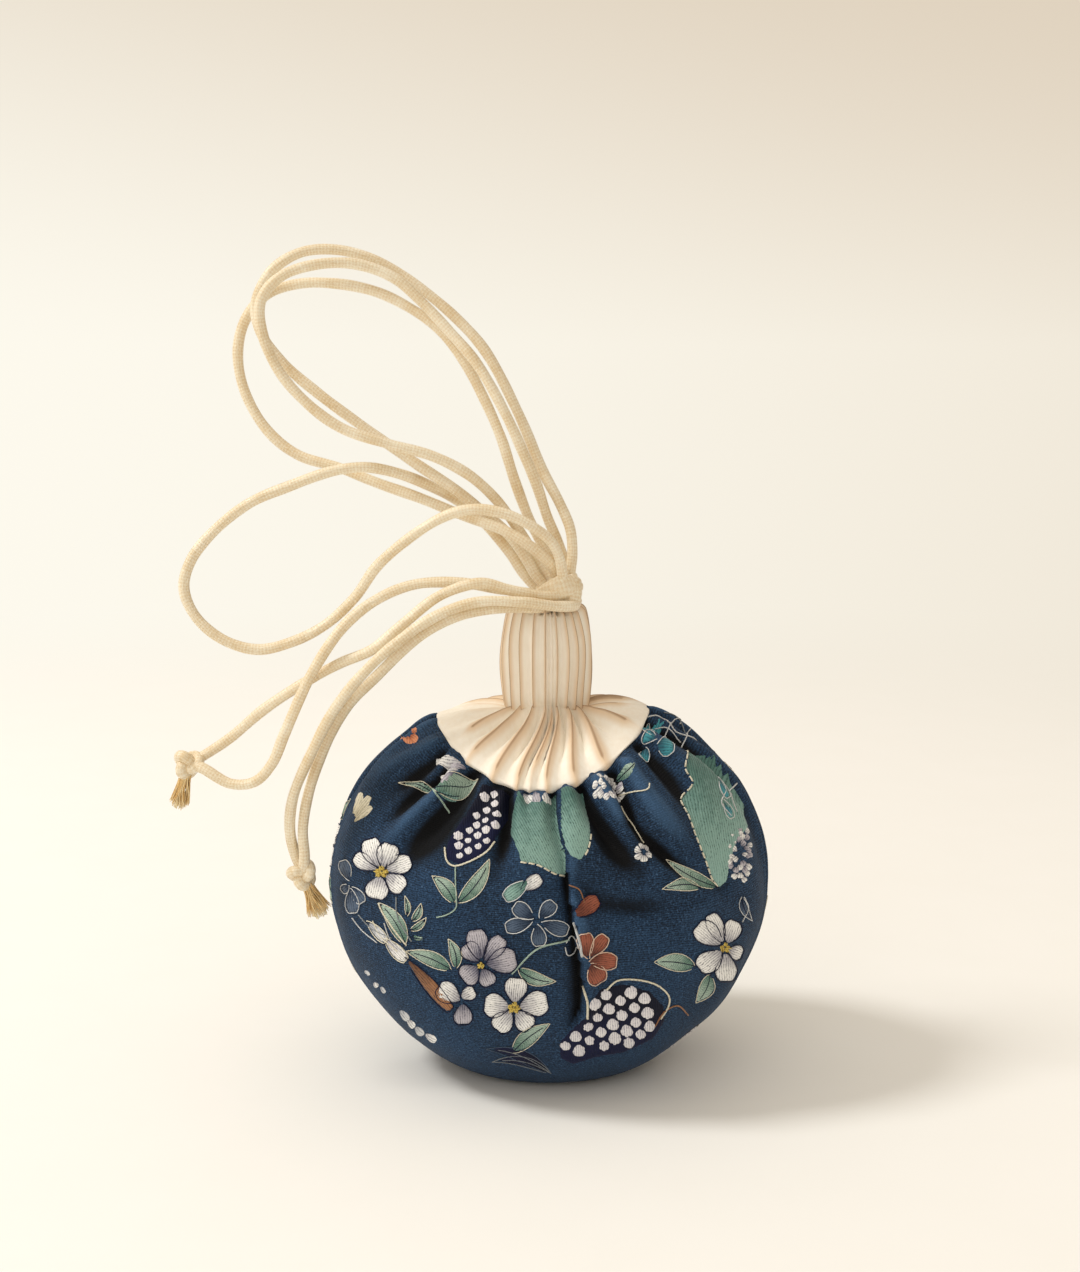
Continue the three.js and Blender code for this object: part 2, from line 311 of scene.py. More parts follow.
# Drawcords: each runs out of the neck through the bow knot, round one loop, through the
# knot again and down one tail into its end knot
cord = {
    "diameter": 2.4,
    "sides": 24,
    "step": 0.42,
    "braidHeight": 0.022,
    "braidStrands": 6,
    "braidPitch": 1.5,
    "pale": "#fff8e4",
    "deep": "#d6b478",
    # painted highlight: near-white flecks standing in for the satin's glints
    "paintedGlint": "#fffbea",
}
loopRoutes = {
    "outer": [
        (5.5, 0, 116.8), (6, 0.5, 121), (5.5, 1, 126.5), (3, 2, 132.5), (-0.5, 3.4, 139),
        (-6.3, 4.7, 152.5), (-13.8, 6.8, 166.5), (-20.5, 8, 174), (-30, 9, 181.7),
        (-38.5, 9, 186.7), (-47, 8.5, 189.2), (-55.5, 7.5, 188.6), (-62.2, 6.5, 184.3),
        (-65.7, 5.8, 177), (-64.8, 5.3, 171), (-60, 4.3, 164.3), (-51.5, 3, 157),
        (-36, 0.3, 146), (-28.5, -0.7, 140.9), (-21, -0.9, 136), (-14, 0.8, 130.2),
        (-8.5, 2, 125), (-4.5, 1.2, 119.5), (-2.4, 0, 116)],
    "middle": [
        (4.5, 3.2, 116.8), (3.2, 3.6, 122), (0.3, 3, 129), (-2.3, 1, 137), (-5, -0.2, 143.5),
        (-9.3, -1, 153), (-15.5, 0, 163.7), (-21.5, 1.5, 170.7), (-28.5, 2.6, 178),
        (-34, 3, 182.7), (-42.5, 2.4, 185.8), (-52, 0.5, 185.5), (-59.3, -1, 182.7),
        (-63.3, -2, 177.7), (-63.3, -2.5, 171.5), (-59.8, -2.5, 162.5), (-53, -3, 154.7),
        (-45.5, -3.5, 149.5), (-36, -3.5, 146.3), (-25.5, -2.5, 143.3), (-17.5, -1, 139),
        (-11.5, 1.5, 133.3), (-7, 4, 127), (-3.2, 4.2, 121), (-0.5, 2.5, 116.8)],
    "inner": [
        (2, 4.9, 116.2), (-0.8, 6.4, 122), (-4, 6.5, 128.5), (-7.3, 5.2, 137.5),
        (-10.3, 5, 147), (-14.5, 6, 156.5), (-19.5, 7.6, 165.5), (-25, 8.7, 172),
        (-32, 9.6, 176.8), (-39, 10.1, 180), (-48, 10.5, 181.8), (-57, 10.5, 181.7),
        (-64, 10, 179.2), (-68.7, 9.4, 173.8), (-70.6, 8.8, 166.5), (-69.2, 8.3, 157.5),
        (-64, 7.4, 148.5), (-57, 6.6, 143), (-47.5, 5.2, 140.2), (-38.5, 3.4, 136.8),
        (-28.5, 1, 133.5), (-18.5, -1.6, 129.7), (-9.5, -3, 126.6), (-3.5, -3.5, 123),
        (0.5, -3, 119.3), (2, -2.1, 117)],
    "low": [
        (3.6, -4.7, 117), (3, -5.4, 120.5), (1, -6.2, 124.5), (-3.8, -7, 128.3),
        (-10, -7.5, 131), (-17, -7.5, 131.8), (-24.5, -7, 129.3), (-37.5, -7, 119.5),
        (-43, -7.5, 112), (-49.5, -8.5, 106), (-57, -9.5, 102.2), (-65, -10, 100.5),
        (-73, -10, 103), (-78.8, -9.5, 108.2), (-81.2, -8.6, 114.3), (-79.6, -7.6, 120.4),
        (-74.5, -6.4, 126.8), (-66.5, -5.6, 133), (-57.5, -5, 136.8), (-47.5, -4.5, 140.2),
        (-40.5, -3.8, 140.9), (-33, -1.2, 139.2), (-26, 2.3, 136), (-19.5, 3.9, 132.2),
        (-13.5, 4.8, 126.8), (-8.3, 4.6, 120.5), (-5, 3.2, 115.8)],
}
tailRoutes = {
    "outer": [
        (-1.2, -5, 112), (-4.5, -6.8, 112.9), (-10, -8.2, 113.9), (-19, -8.5, 115.4),
        (-29.5, -8.3, 115), (-37.5, -9.5, 112), (-44.5, -12.5, 106.8), (-51.5, -16.3, 97),
        (-58, -17.5, 83.1), (-61.2, -17.3, 75.8), (-65.2, -17, 71.7),
        (-70.6, -16.3, 71.1), (-76.9, -15.1, 74.3)],
    "middle": [
        (2.6, -6.3, 112.2), (-2.5, -9.3, 112.7), (-8.5, -11.3, 114.2), (-14.5, -12.5, 115.9),
        (-23.5, -13, 113.2), (-32, -14, 106.7), (-38.5, -14.3, 101.3), (-46, -13.7, 98),
        (-54.5, -12.8, 93.2), (-63.5, -12.6, 87.2), (-71, -12.2, 80.8), (-76.9, -12, 76.8)],
    "inner": [
        (0.6, -6, 109.6), (-2.6, -8.3, 109.7), (-6, -10.2, 110.1), (-12.5, -12, 110),
        (-21, -12.7, 108), (-29, -13.5, 103.5), (-37, -14.5, 96), (-44.7, -15, 88),
        (-49.5, -15, 79.5), (-53.3, -15, 69), (-54.8, -15.6, 60.5), (-54.5, -16.4, 54)],
    "low": [
        (6, -6.3, 109.8), (2, -9.8, 110.3), (-5, -13.2, 111.7), (-15.5, -15.2, 112),
        (-24, -16.3, 109.2), (-32.5, -17.7, 103.7), (-40, -18.5, 97), (-46.5, -19, 89),
        (-52.2, -18.4, 78.5), (-56.7, -16.8, 68), (-57.8, -15.2, 60), (-56.9, -13.7, 53.8)],
}
# Out of the neck, across the bow knot between loop and tail, and into the end knot
cordEnds = {
    "outer": {"rise": [(3.6, 1.6, 106), (5, 0.4, 111)],
              "cross": [(0, -1.5, 113)],
              "end": (-79.6, -14, 75), "knot": "left"},
    "middle": {"rise": [(-1.2, 2.8, 106), (2.5, 3.2, 111)],
               "cross": [(2, 0, 113), (4, -3.4, 112.6)],
               "end": (-79.6, -12.6, 75.4), "knot": "left"},
    "inner": {"rise": [(-3, -1.2, 106), (-0.5, 3, 110.5)],
              "cross": [(4, -1.5, 112.5), (3.4, -4.4, 110.2)],
              "end": (-55, -15.8, 51), "knot": "right"},
    "low": {"rise": [(1.6, -2.6, 106), (3.8, -3, 111.5)],
            "cross": [(-1, 2, 112), (5, 0.5, 111.5), (6.6, -3.8, 109.9)],
            "end": (-55.6, -14.4, 51), "knot": "right"},
}
endKnots = {
    "left": {"centre": (-80.6, -13.4, 75), "down": (-0.25, 0, -1), "mouth": 2.3},
    "right": {"centre": (-55.2, -15, 49.6), "down": (0.42, 0, -1), "mouth": 3.0},
}


def satinFinish():
    satin = Finish("satin_cord", Specular_IOR_Level=0.55, Sheen_Weight=0.15, Sheen_Roughness=0.4)
    across, along, ahead = satin.split(satin.attribute("lay"))
    angle = ahead.math("ARCTAN2", across)
    strands = cord["braidStrands"]
    place = satin.place()
    loose = satin.noise(place, 900, 2) * 3.5
    turnOne = (angle * strands + along * (2 * math.pi / cord["braidPitch"]) + loose).sine()
    turnTwo = (angle * strands - along * (2 * math.pi / cord["braidPitch"]) + loose).sine()
    threads = (angle * (strands * 5) + along * (10 / cord["braidPitch"])).sine()
    weave = turnOne * turnTwo
    cloud = satin.noise(place, 160, 2)
    grain = satin.noise(place, 2400, 3, 0.6)
    # Partly painted shade: the colour is deeper where the braid dips between strands; the cloud and grain are
    # the cord's own uneven tone
    shade = (0.5 - weave * 0.5) * 0.16 + cloud * 0.35 + grain * 0.6
    colour = satin.mix(shade.between(0.3, 0.85), cord["pale"], cord["deep"])
    # Painted highlight: near-white flecks where the fine grain peaks, standing in for the satin's glints
    colour = satin.mix(grain.between(0.54, 0.68) * 0.55, colour, cord["paintedGlint"])
    height = weave * 0.4 + threads * 0.25 + grain * 0.5
    return satin.wear(colour, cloud * 0.12 + 0.37, satin.bump(height, 0.06, 0.6))


# The braid's woven surface, slightly thicker and thinner along the cord
def braid(along, angles):
    turn = 2 * math.pi / cord["braidPitch"] * along
    strands = cord["braidStrands"]
    weave = np.sin(angles * strands + turn) * np.sin(angles * strands - turn)
    soft = 0.03 * math.sin(along * 0.21) + 0.025 * math.sin(along * 0.57 + 1.3)
    return cord["diameter"] / 2 * (1 + soft) + cord["braidHeight"] * weave


satinMaterial = satinFinish()


def makeCord(name):
    ends = cordEnds[name]
    route = [*ends["rise"], *loopRoutes[name], *ends["cross"], *tailRoutes[name], ends["end"]]
    line = smoothLine(route, cord["step"])
    points, faces, lay = tube(line, braid, cord["sides"])
    piece = addPiece("cord_" + name, points, faces, satinMaterial, {"lay": lay})
    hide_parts("loop_" + name, "tail_" + name)
    return piece, (line[::2] * mm).tolist(), runAlong(line)[-1] * mm


cords = {name: makeCord(name) for name in loopRoutes}


# The stuffed body: two outlines, one at the sides and one at front and back, as the CAD
# solid has them, with the gathers and creases of the cloth pressed into it
bodyLow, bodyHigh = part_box("pouch_body")
body = {
    "half": (bodyHigh.x / mm + 0.2, bodyHigh.y / mm),
    "widest": 43,
    "baseHalf": (20, 14),
    "bowlPullOut": (0.19, 0.42),
    "bowlPullDown": 0.54,
    "seamHalf": (24.5, 27),
    "seamHeight": 83.8,
    "seamDip": (0, 11.4),
    "shoulderPull": (0.59, 0.17, 0.51),   # outwards and down at the seam, up at the widest
    "seamTilt": 0.8,             # higher at the right than in the middle by this much
    "seamShift": -0.8,           # the seam is this much to the side
    "bellyShift": 0.7,           # and the belly this much to the other
    "shiftReach": 23,            # down the cloth, from the one to the other
    "around": 480,
    "rows": 172,
    "baseRows": 8,
    "capRows": 5,
}


def bodyOutline(which):
    wide, seam, base = body["half"][which], body["seamHalf"][which], body["baseHalf"][which]
    edge = body["seamHeight"] - body["seamDip"][which]
    middle = body["widest"]
    rise = edge - middle
    pullOut, drop, pullUp = body["shoulderPull"]
    shoulder = bezier([(seam, edge), (seam + (wide - seam) * pullOut, edge - rise * drop),
                       (wide, middle + rise * pullUp), (wide, middle)], 240)
    under = middle * (1 - body["bowlPullDown"])
    bowl = bezier([(wide, middle), (wide, under),
                   (base + (wide - base) * body["bowlPullOut"][which], 0), (base, 0)], 240)
    return np.vstack([shoulder, bowl[1:]])


# The body's top, which the collar hides
def capOutline(which):
    seam, dip = body["seamHalf"][which], body["seamDip"][which]
    top = body["seamHeight"] + 0.3
    edge = body["seamHeight"] - dip
    return bezier([(0, top), (seam * 0.35, top), (seam * 0.74, edge + dip * 0.65), (seam, edge)],
                  body["capRows"] + 1)[1:-1]


# Places on rings between a side outline and a front outline, both as (radius, height).
# The angles are the same for each ring, or a row of them for each.
def rings(side, front, angles):
    cos, sin = np.cos(angles), np.sin(angles)
    x = side[:, :1] * cos
    y = front[:, :1] * sin
    z = side[:, 1:] * cos * cos + front[:, 1:] * sin * sin
    return np.stack([x, y, z], 2)


# Tilts the seam and moves it aside, by the share of each point
def tiltSeam(points, share):
    lift = body["seamTilt"] * np.clip(points[..., 0] / body["seamHalf"][0], -1.3, 1.3)
    points[..., 2] += lift * share
    points[..., 0] += body["seamShift"] * share


# Outward directions on a grid of rings
def ringNormals(grid):
    around = np.roll(grid, -1, 1) - np.roll(grid, 1, 1)
    down = np.gradient(grid, axis=0)
    normals = np.cross(down, around)
    return normals / np.maximum(np.linalg.norm(normals, axis=2), 1e-9)[..., None]


# The smooth body as a grid, with how far each row is below the seam
def bodyGrid():
    side, front = bodyOutline(0), bodyOutline(1)
    run = (runAlong(side) + runAlong(front)) / 2
    even = np.linspace(0, run[-1], body["rows"])
    side, front = [np.stack([np.interp(even, run, outline[:, k]) for k in (0, 1)], 1)
                   for outline in (side, front)]
    angles = np.arange(body["around"]) / body["around"] * 2 * math.pi
    shrink = np.linspace(1, 0.04, body["baseRows"] + 1)[1:, None]
    closed = [np.vstack([capOutline(which), outline, outline[-1:] * shrink])
              for which, outline in enumerate((side, front))]
    grid = rings(*closed, angles)
    down = np.concatenate([-np.ones(body["capRows"]), even, run[-1] + np.arange(body["baseRows"])])
    share = (1 - smooth(down, 0, body["shiftReach"]))[:, None]
    tiltSeam(grid, share)
    grid[..., 0] += body["bellyShift"] * (1 - share)
    return grid, down, angles


# Distance from points to a line, the share of the line passed, and on which side
def toLine(points, line, normals):
    nearest = np.full(len(points), 1e9)
    share = np.zeros(len(points))
    side = np.ones(len(points))
    for k in range(len(line) - 1):
        a, step = line[k], line[k + 1] - line[k]
        t = np.clip((points - a) @ step / (step @ step), 0, 1)
        offset = points - a - t[:, None] * step
        distance = np.linalg.norm(offset, axis=1)
        closer = distance < nearest
        nearest[closer] = distance[closer]
        share[closer] = (k + t[closer]) / (len(line) - 1)
        turned = np.einsum("ij,ij->i", np.cross(step, normals[closer]), offset[closer])
        side[closer] = np.sign(turned)
    return nearest, share, side


folds = {
    "depth": 1.35,               # times the heights of all gathers
    # The front's, in pixels of the photo: the line, how far the cloth stands out or in, and
    # how wide the fold is at its start and end
    "gathers": [
        ([(441, 750), (425, 766), (405, 779), (388, 791)], -1.7, 1.6, 3.2),
        ([(446, 767), (434, 783), (417, 790), (398, 810), (381, 830)], -1.7, 1.2, 2.2),
        ([(472, 775), (458, 798), (436, 822), (412, 850), (393, 878)], -2.2, 2.0, 5.0),
        ([(496, 786), (480, 812), (460, 842), (444, 862)], -1.2, 1.8, 3.5),
        ([(509, 791), (508, 818), (504, 845), (495, 875)], -2.3, 1.2, 2.6),
        ([(526, 793), (529, 808)], -1.1, 0.8, 1.0),
        ([(553, 793), (552, 818), (559, 845), (566, 868)], -1.8, 1.0, 1.5),
        ([(581, 787), (590, 808), (604, 832), (625, 858), (642, 868)], -2.3, 1.4, 3.0),
        ([(613, 773), (625, 800), (636, 830), (653, 844), (667, 858), (695, 878), (724, 887)],
         -2.3, 1.5, 2.0),
        ([(640, 745), (662, 768), (682, 795), (698, 828)], -1.8, 1.7, 3.2),
        ([(645, 722), (672, 738), (700, 760)], -0.9, 1.2, 2.2),
        ([(578, 885), (596, 902), (630, 908), (662, 906), (700, 893)], -0.9, 2.4, 2.6),
        ([(436, 742), (412, 755), (388, 768), (364, 788)], 0.6, 2.0, 4.0),
        ([(453, 776), (432, 800), (408, 822), (384, 846)], 1.3, 1.7, 3.2),
        ([(517, 796), (516, 830), (514, 862)], 0.8, 1.8, 3.5),
        ([(540, 796), (540, 830), (545, 870)], 0.9, 1.8, 4.5),
        ([(568, 792), (574, 825), (584, 860)], 0.9, 1.8, 3.5),
        ([(598, 782), (618, 812), (642, 842), (668, 866)], 1.3, 1.5, 3.4),
        ([(627, 765), (646, 796), (668, 824), (700, 852)], 1.3, 1.6, 3.6),
        ([(646, 735), (672, 752), (700, 782), (722, 818)], 0.4, 1.8, 4.5),
    ],
    "crease": [(562, 846), (566, 866), (569, 885), (572, 911), (576, 931), (578, 951), (582, 972),
               (583, 992), (582, 1012), (574, 1024), (564, 1037)],
    "creaseLip": 1.2,
    "creaseLipAt": 1.1,          # beside the crease
    "creaseLipWidth": 1.9,
    "creaseDrop": 2.1,
    "creaseWidth": 2.0,
    # The gathers that the photo doesn't show: a range where chance chooses
    "backCount": 21,
    "backStart": -20,            # degrees round the body, from the right
    "backSweep": 208,
    "backBend": 0.12,            # radians, to either side
    "backLength": (14, 34),
    "backDepth": (1.1, 2.1),
    "backRidge": (0.3, 0.6),
    "sideSeams": [(-0.06, -0.26), (math.pi + 0.03, math.pi + 0.22)],   # angles at top and bottom
    "sideSeam": 0.8,
    "sideSeamWidth": 0.6,
    "sideSeamStep": 2,
    "sideSeamPuff": 0.28,
    "stitchPitch": 2.6,
    "lumps": (14, 0.09, 14, 34),   # how many waves, how high, the shortest and the longest
    "pucker": 0.13,
    "edgePuff": 0.25,            # just below the collar's seam
    "edgeTuck": 0.45,            # and right at it
    "capTuck": 1.6,              # under the collar
}


# Where a pen's line meets the cloth, or comes nearest to it, and the face there
def castOn(tree, pen, u, v):
    start, direction = pen(u, v)
    place, _, face, _ = tree.ray_cast(start, direction)
    if place is None:
        reach = (tree.find_nearest(start)[0] - start).length * 1.08
        place, _, face, _ = tree.find_nearest(start + direction * reach)
    return np.array(place), face


def ringTree(grid):
    rows, around = grid.shape[:2]
    return BVHTree.FromPolygons(grid.reshape(-1, 3).tolist(), ringFaces(rows, around))


# A line on the smooth body that starts at the seam at one angle and ends at another
def gatherLine(grid, down, startAngle, endAngle, length):
    line = []
    for t in np.linspace(0, 1, 5):
        row = int(np.argmin(np.abs(down - t * length)))
        angle = startAngle + (endAngle - startAngle) * t * t
        column = int(round(angle / (2 * math.pi) * body["around"])) % body["around"]
        line.append(grid[row, column])
    return np.array(line)


# Soft lumps: waves of any direction and length laid over one another
def lumps(points, seed, count, height, shortest, longest):
    dice = np.random.RandomState(seed)
    rise = 0
    for _ in range(count):
        direction = dice.normal(size=3)
        direction *= 2 * math.pi / dice.uniform(shortest, longest) / np.linalg.norm(direction)
        rise += height * np.sin(points @ direction + dice.uniform(0, 6.28))
    return rise


def makeBody():
    grid, down, angles = bodyGrid()
    normals = ringNormals(grid)
    shape = grid.shape
    points, out = grid.reshape(-1, 3), normals.reshape(-1, 3)
    plain = ringTree(grid)
    rise = np.zeros(len(points))
    depth = np.repeat(down, shape[1])
    dice = random.Random(11)

    def press(line, height, startWidth, endWidth):
        nearby = np.abs(points - line.mean(0)).max(1) < np.abs(line - line.mean(0)).max() + 14
        distance, share, _ = toLine(points[nearby], line, out[nearby])
        width = startWidth + (endWidth - startWidth) * share
        fade = 1 - smooth(share, 0.45, 1.05) * 0.75
        rise[nearby] += height * folds["depth"] * fade * np.exp(-(distance / width) ** 2)

    for route, height, startWidth, endWidth in folds["gathers"]:
        line = np.array([castOn(plain, photoRay, u, v)[0] for u, v in route])
        press(smoothLine(line, 4), height, startWidth, endWidth)

    # The back's: a groove and a ridge beside it, by turns
    for k in range(folds["backCount"]):
        turned = folds["backSweep"] * (k + 0.5 + dice.uniform(-0.28, 0.28)) / folds["backCount"]
        angle = math.radians(folds["backStart"] + turned)
        bend = dice.uniform(-folds["backBend"], folds["backBend"])
        length = dice.uniform(*folds["backLength"])
        line = gatherLine(grid, down, angle, angle + bend, length)
        press(line, -dice.uniform(*folds["backDepth"]), dice.uniform(1.0, 1.5), dice.uniform(2.0, 3.4))
        line = gatherLine(grid, down, angle + 0.09, angle + 0.1 + bend, length * 0.9)
        press(line, dice.uniform(*folds["backRidge"]), 1.6, dice.uniform(2.5, 4))

    # The long crease of the front, its left lip lying over the right
    line = smoothLine([castOn(plain, photoRay, u, v)[0] for u, v in folds["crease"]], 3)
    nearby = np.abs(points - line.mean(0)).max(1) < 45
    distance, share, side = toLine(points[nearby], line, out[nearby])
    ends = smooth(share, 0, 0.12) * (1 - smooth(share, 0.8, 1)) + 0.35 * (1 - smooth(share, 0, 0.12))
    besideLip = (distance - folds["creaseLipAt"]) / folds["creaseLipWidth"]
    lip = folds["creaseLip"] * np.exp(-besideLip ** 2)
    drop = -folds["creaseDrop"] * np.exp(-(distance / folds["creaseWidth"]) ** 1.3)
    rise[nearby] += ends * np.where(side < 0, lip, drop)

    # Side seams: a stitched groove with the cloth puffed beside it
    for start, end in folds["sideSeams"]:
        line = []
        for t in np.linspace(0, 1, 12):
            column = int(round((start + (end - start) * t) / (2 * math.pi) * shape[1])) % shape[1]
            line.append(grid[int(t * body["rows"] * 0.95) + body["capRows"], column])
        line = smoothLine(line, folds["sideSeamStep"])
        nearby = np.abs(points[:, 1]) < 14
        distance, share, _ = toLine(points[nearby], line, out[nearby])
        stitches = share * len(line) * folds["sideSeamStep"] / folds["stitchPitch"]
        stitch = 1 + 0.3 * np.cos(2 * math.pi * stitches)
        groove = -folds["sideSeam"] * stitch * np.exp(-(distance / folds["sideSeamWidth"]) ** 2)
        rise[nearby] += groove + folds["sideSeamPuff"] * np.exp(-((distance - 1.6) / 0.9) ** 2)

    # Soft lumps of the stuffing, small puckers at the collar, and the edge sewn in
    rise += lumps(points, 5, *folds["lumps"])
    turn = np.tile(angles, shape[0])
    pucker = np.sin(turn * 67 + 2 * np.sin(turn * 5)) + 0.6 * np.sin(turn * 41 + 1)
    rise += folds["pucker"] * pucker * np.exp(-np.clip(depth, 0, None) / 3.5)
    rise += folds["edgePuff"] * np.exp(-((depth - 3) / 2.2) ** 2)
    rise -= folds["edgeTuck"] * np.exp(-np.clip(depth, 0, None) / 0.5)
    rise[depth < 0] = -folds["capTuck"]
    rise *= smooth(points[:, 2], 0.5, 9)
    moved = points + out * rise[:, None]
    moved[:, 2] = np.maximum(moved[:, 2], 0)

    return grid, moved.reshape(shape), layer(0.0, depth, np.clip(rise, -2, 2))


brocade = {
    "ribPitch": 0.52,
    "deep": "#0a1625",
    "light": "#2e4d70",
    "paintedCrestHighlight": "#4a6d94",         # painted highlight on the crests of folds
    # painted highlight: pale specks in the cloth's grain
    "paintedGlint": "#7a97b8",
    "paintedFoldShade": "#10151e",         # painted shade, multiplied in, in the folds
}


def brocadeFinish():
    cloth = Finish("brocade", Sheen_Weight=0.1, Sheen_Roughness=0.4, Specular_IOR_Level=0.2)
    cloth.shader.inputs["Sheen Tint"].default_value = asColour("#a9c4ea")
    _, down, rise = cloth.split(cloth.attribute("lay"))
    place = cloth.place()
    sway = cloth.noise(place, 170, 3)
    rib = (down * (2 * math.pi / brocade["ribPitch"]) + sway * 20).sine()
    grain = cloth.noise(place, 2500, 3, 0.62)
    cross = cloth.noise(place, 4200, 2)
    yarn = rib * 0.4 + grain * 1.7 + cross * 0.7
    patchy = cloth.noise(place, 60, 3)
    light = (grain * 1.25 + rib * 0.09 + patchy * 0.3 - 0.28).between(0.2, 0.85)
    colour = cloth.mix(light, brocade["deep"], brocade["light"])
    # Painted highlight: lighter colour where the cloth rises on a fold's crest
    colour = cloth.mix(rise.between(0.2, 1.5) * 0.45, colour, brocade["paintedCrestHighlight"])
    # Painted highlight: pale specks where the fine grain peaks
    colour = cloth.mix(grain.between(0.6, 0.76) * 0.35, colour, brocade["paintedGlint"])
    # Painted shade: darkens the colour where the cloth sinks into a fold
    paintedFoldShade = (rise * -1).between(0.1, 1.7)
    colour = cloth.mix(paintedFoldShade, colour, brocade["paintedFoldShade"], "MULTIPLY")
    return cloth.wear(colour, patchy * 0.1 + 0.7, cloth.bump(yarn, 0.09, 0.7))


plainGridPoints, bodyGridPoints, bodyLay = makeBody()
bodyFaces = closedFaces(*bodyGridPoints.shape[:2], flip=True)
bodyCloth = addPiece("body_cloth", bodyGridPoints.reshape(-1, 3), bodyFaces, brocadeFinish(),
                     {"lay": bodyLay})
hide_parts("pouch_body")


# Woven flowers: outlines drawn in pixels of the photo, filled with a thin skin of silk that
# lies on the cloth. Each silk has its colour at the root of a petal, at its tip, and a darker
# one for its streaks and for the painted shade between its threads.
silks = {
    "white": ("#b0afb6", "#f8f8f6", "#504f5e"),
    "grey": ("#4f5968", "#8b9298", "#262f40"),
    "slate": ("#2a3a50", "#56677e", "#18233a"),
    "mauve": ("#67667a", "#c1bdc6", "#2f3146"),
    "green": ("#5a8072", "#abc2b4", "#2a4a44"),
    "leafGreen": ("#4a746d", "#8db2aa", "#2b4d49"),
    "teal": ("#175468", "#3f97a6", "#0f3948"),
    "rust": ("#5e2a1e", "#a05a44", "#36180f"),
    "coral": ("#a8532f", "#e0946a", "#7a3c20"),
    "peach": ("#c99c80", "#efd2bd", "#8a5f48"),
    "brown": ("#6a452e", "#a2714d", "#3a271a"),
    "night": ("#0e1226", "#14193a", "#090c1e"),
    "dots": ("#cfccd6", "#f1eff0", "#8c8aa0"),
    "yellow": ("#b8942f", "#e4cc66", "#7a5c1e"),
    "cream": ("#c9c0a2", "#efe9d4", "#8d8467"),
    "paleGrey": ("#a3a7b0", "#dcdee0", "#6a6f7b"),
}
weave = {
    "edgeStep": 1.9,             # pixels between points of an outline
    "fillStep": 2.5,             # and between the points inside it
    "edgeBelow": 0.06,           # millimetres
    "edgeRamp": 0.35,
    "silkHeight": 0.13,
    "orderHeight": 0.045,
    "threadPitch": 0.5,
    "pixelsPerMm": 4.5,
}


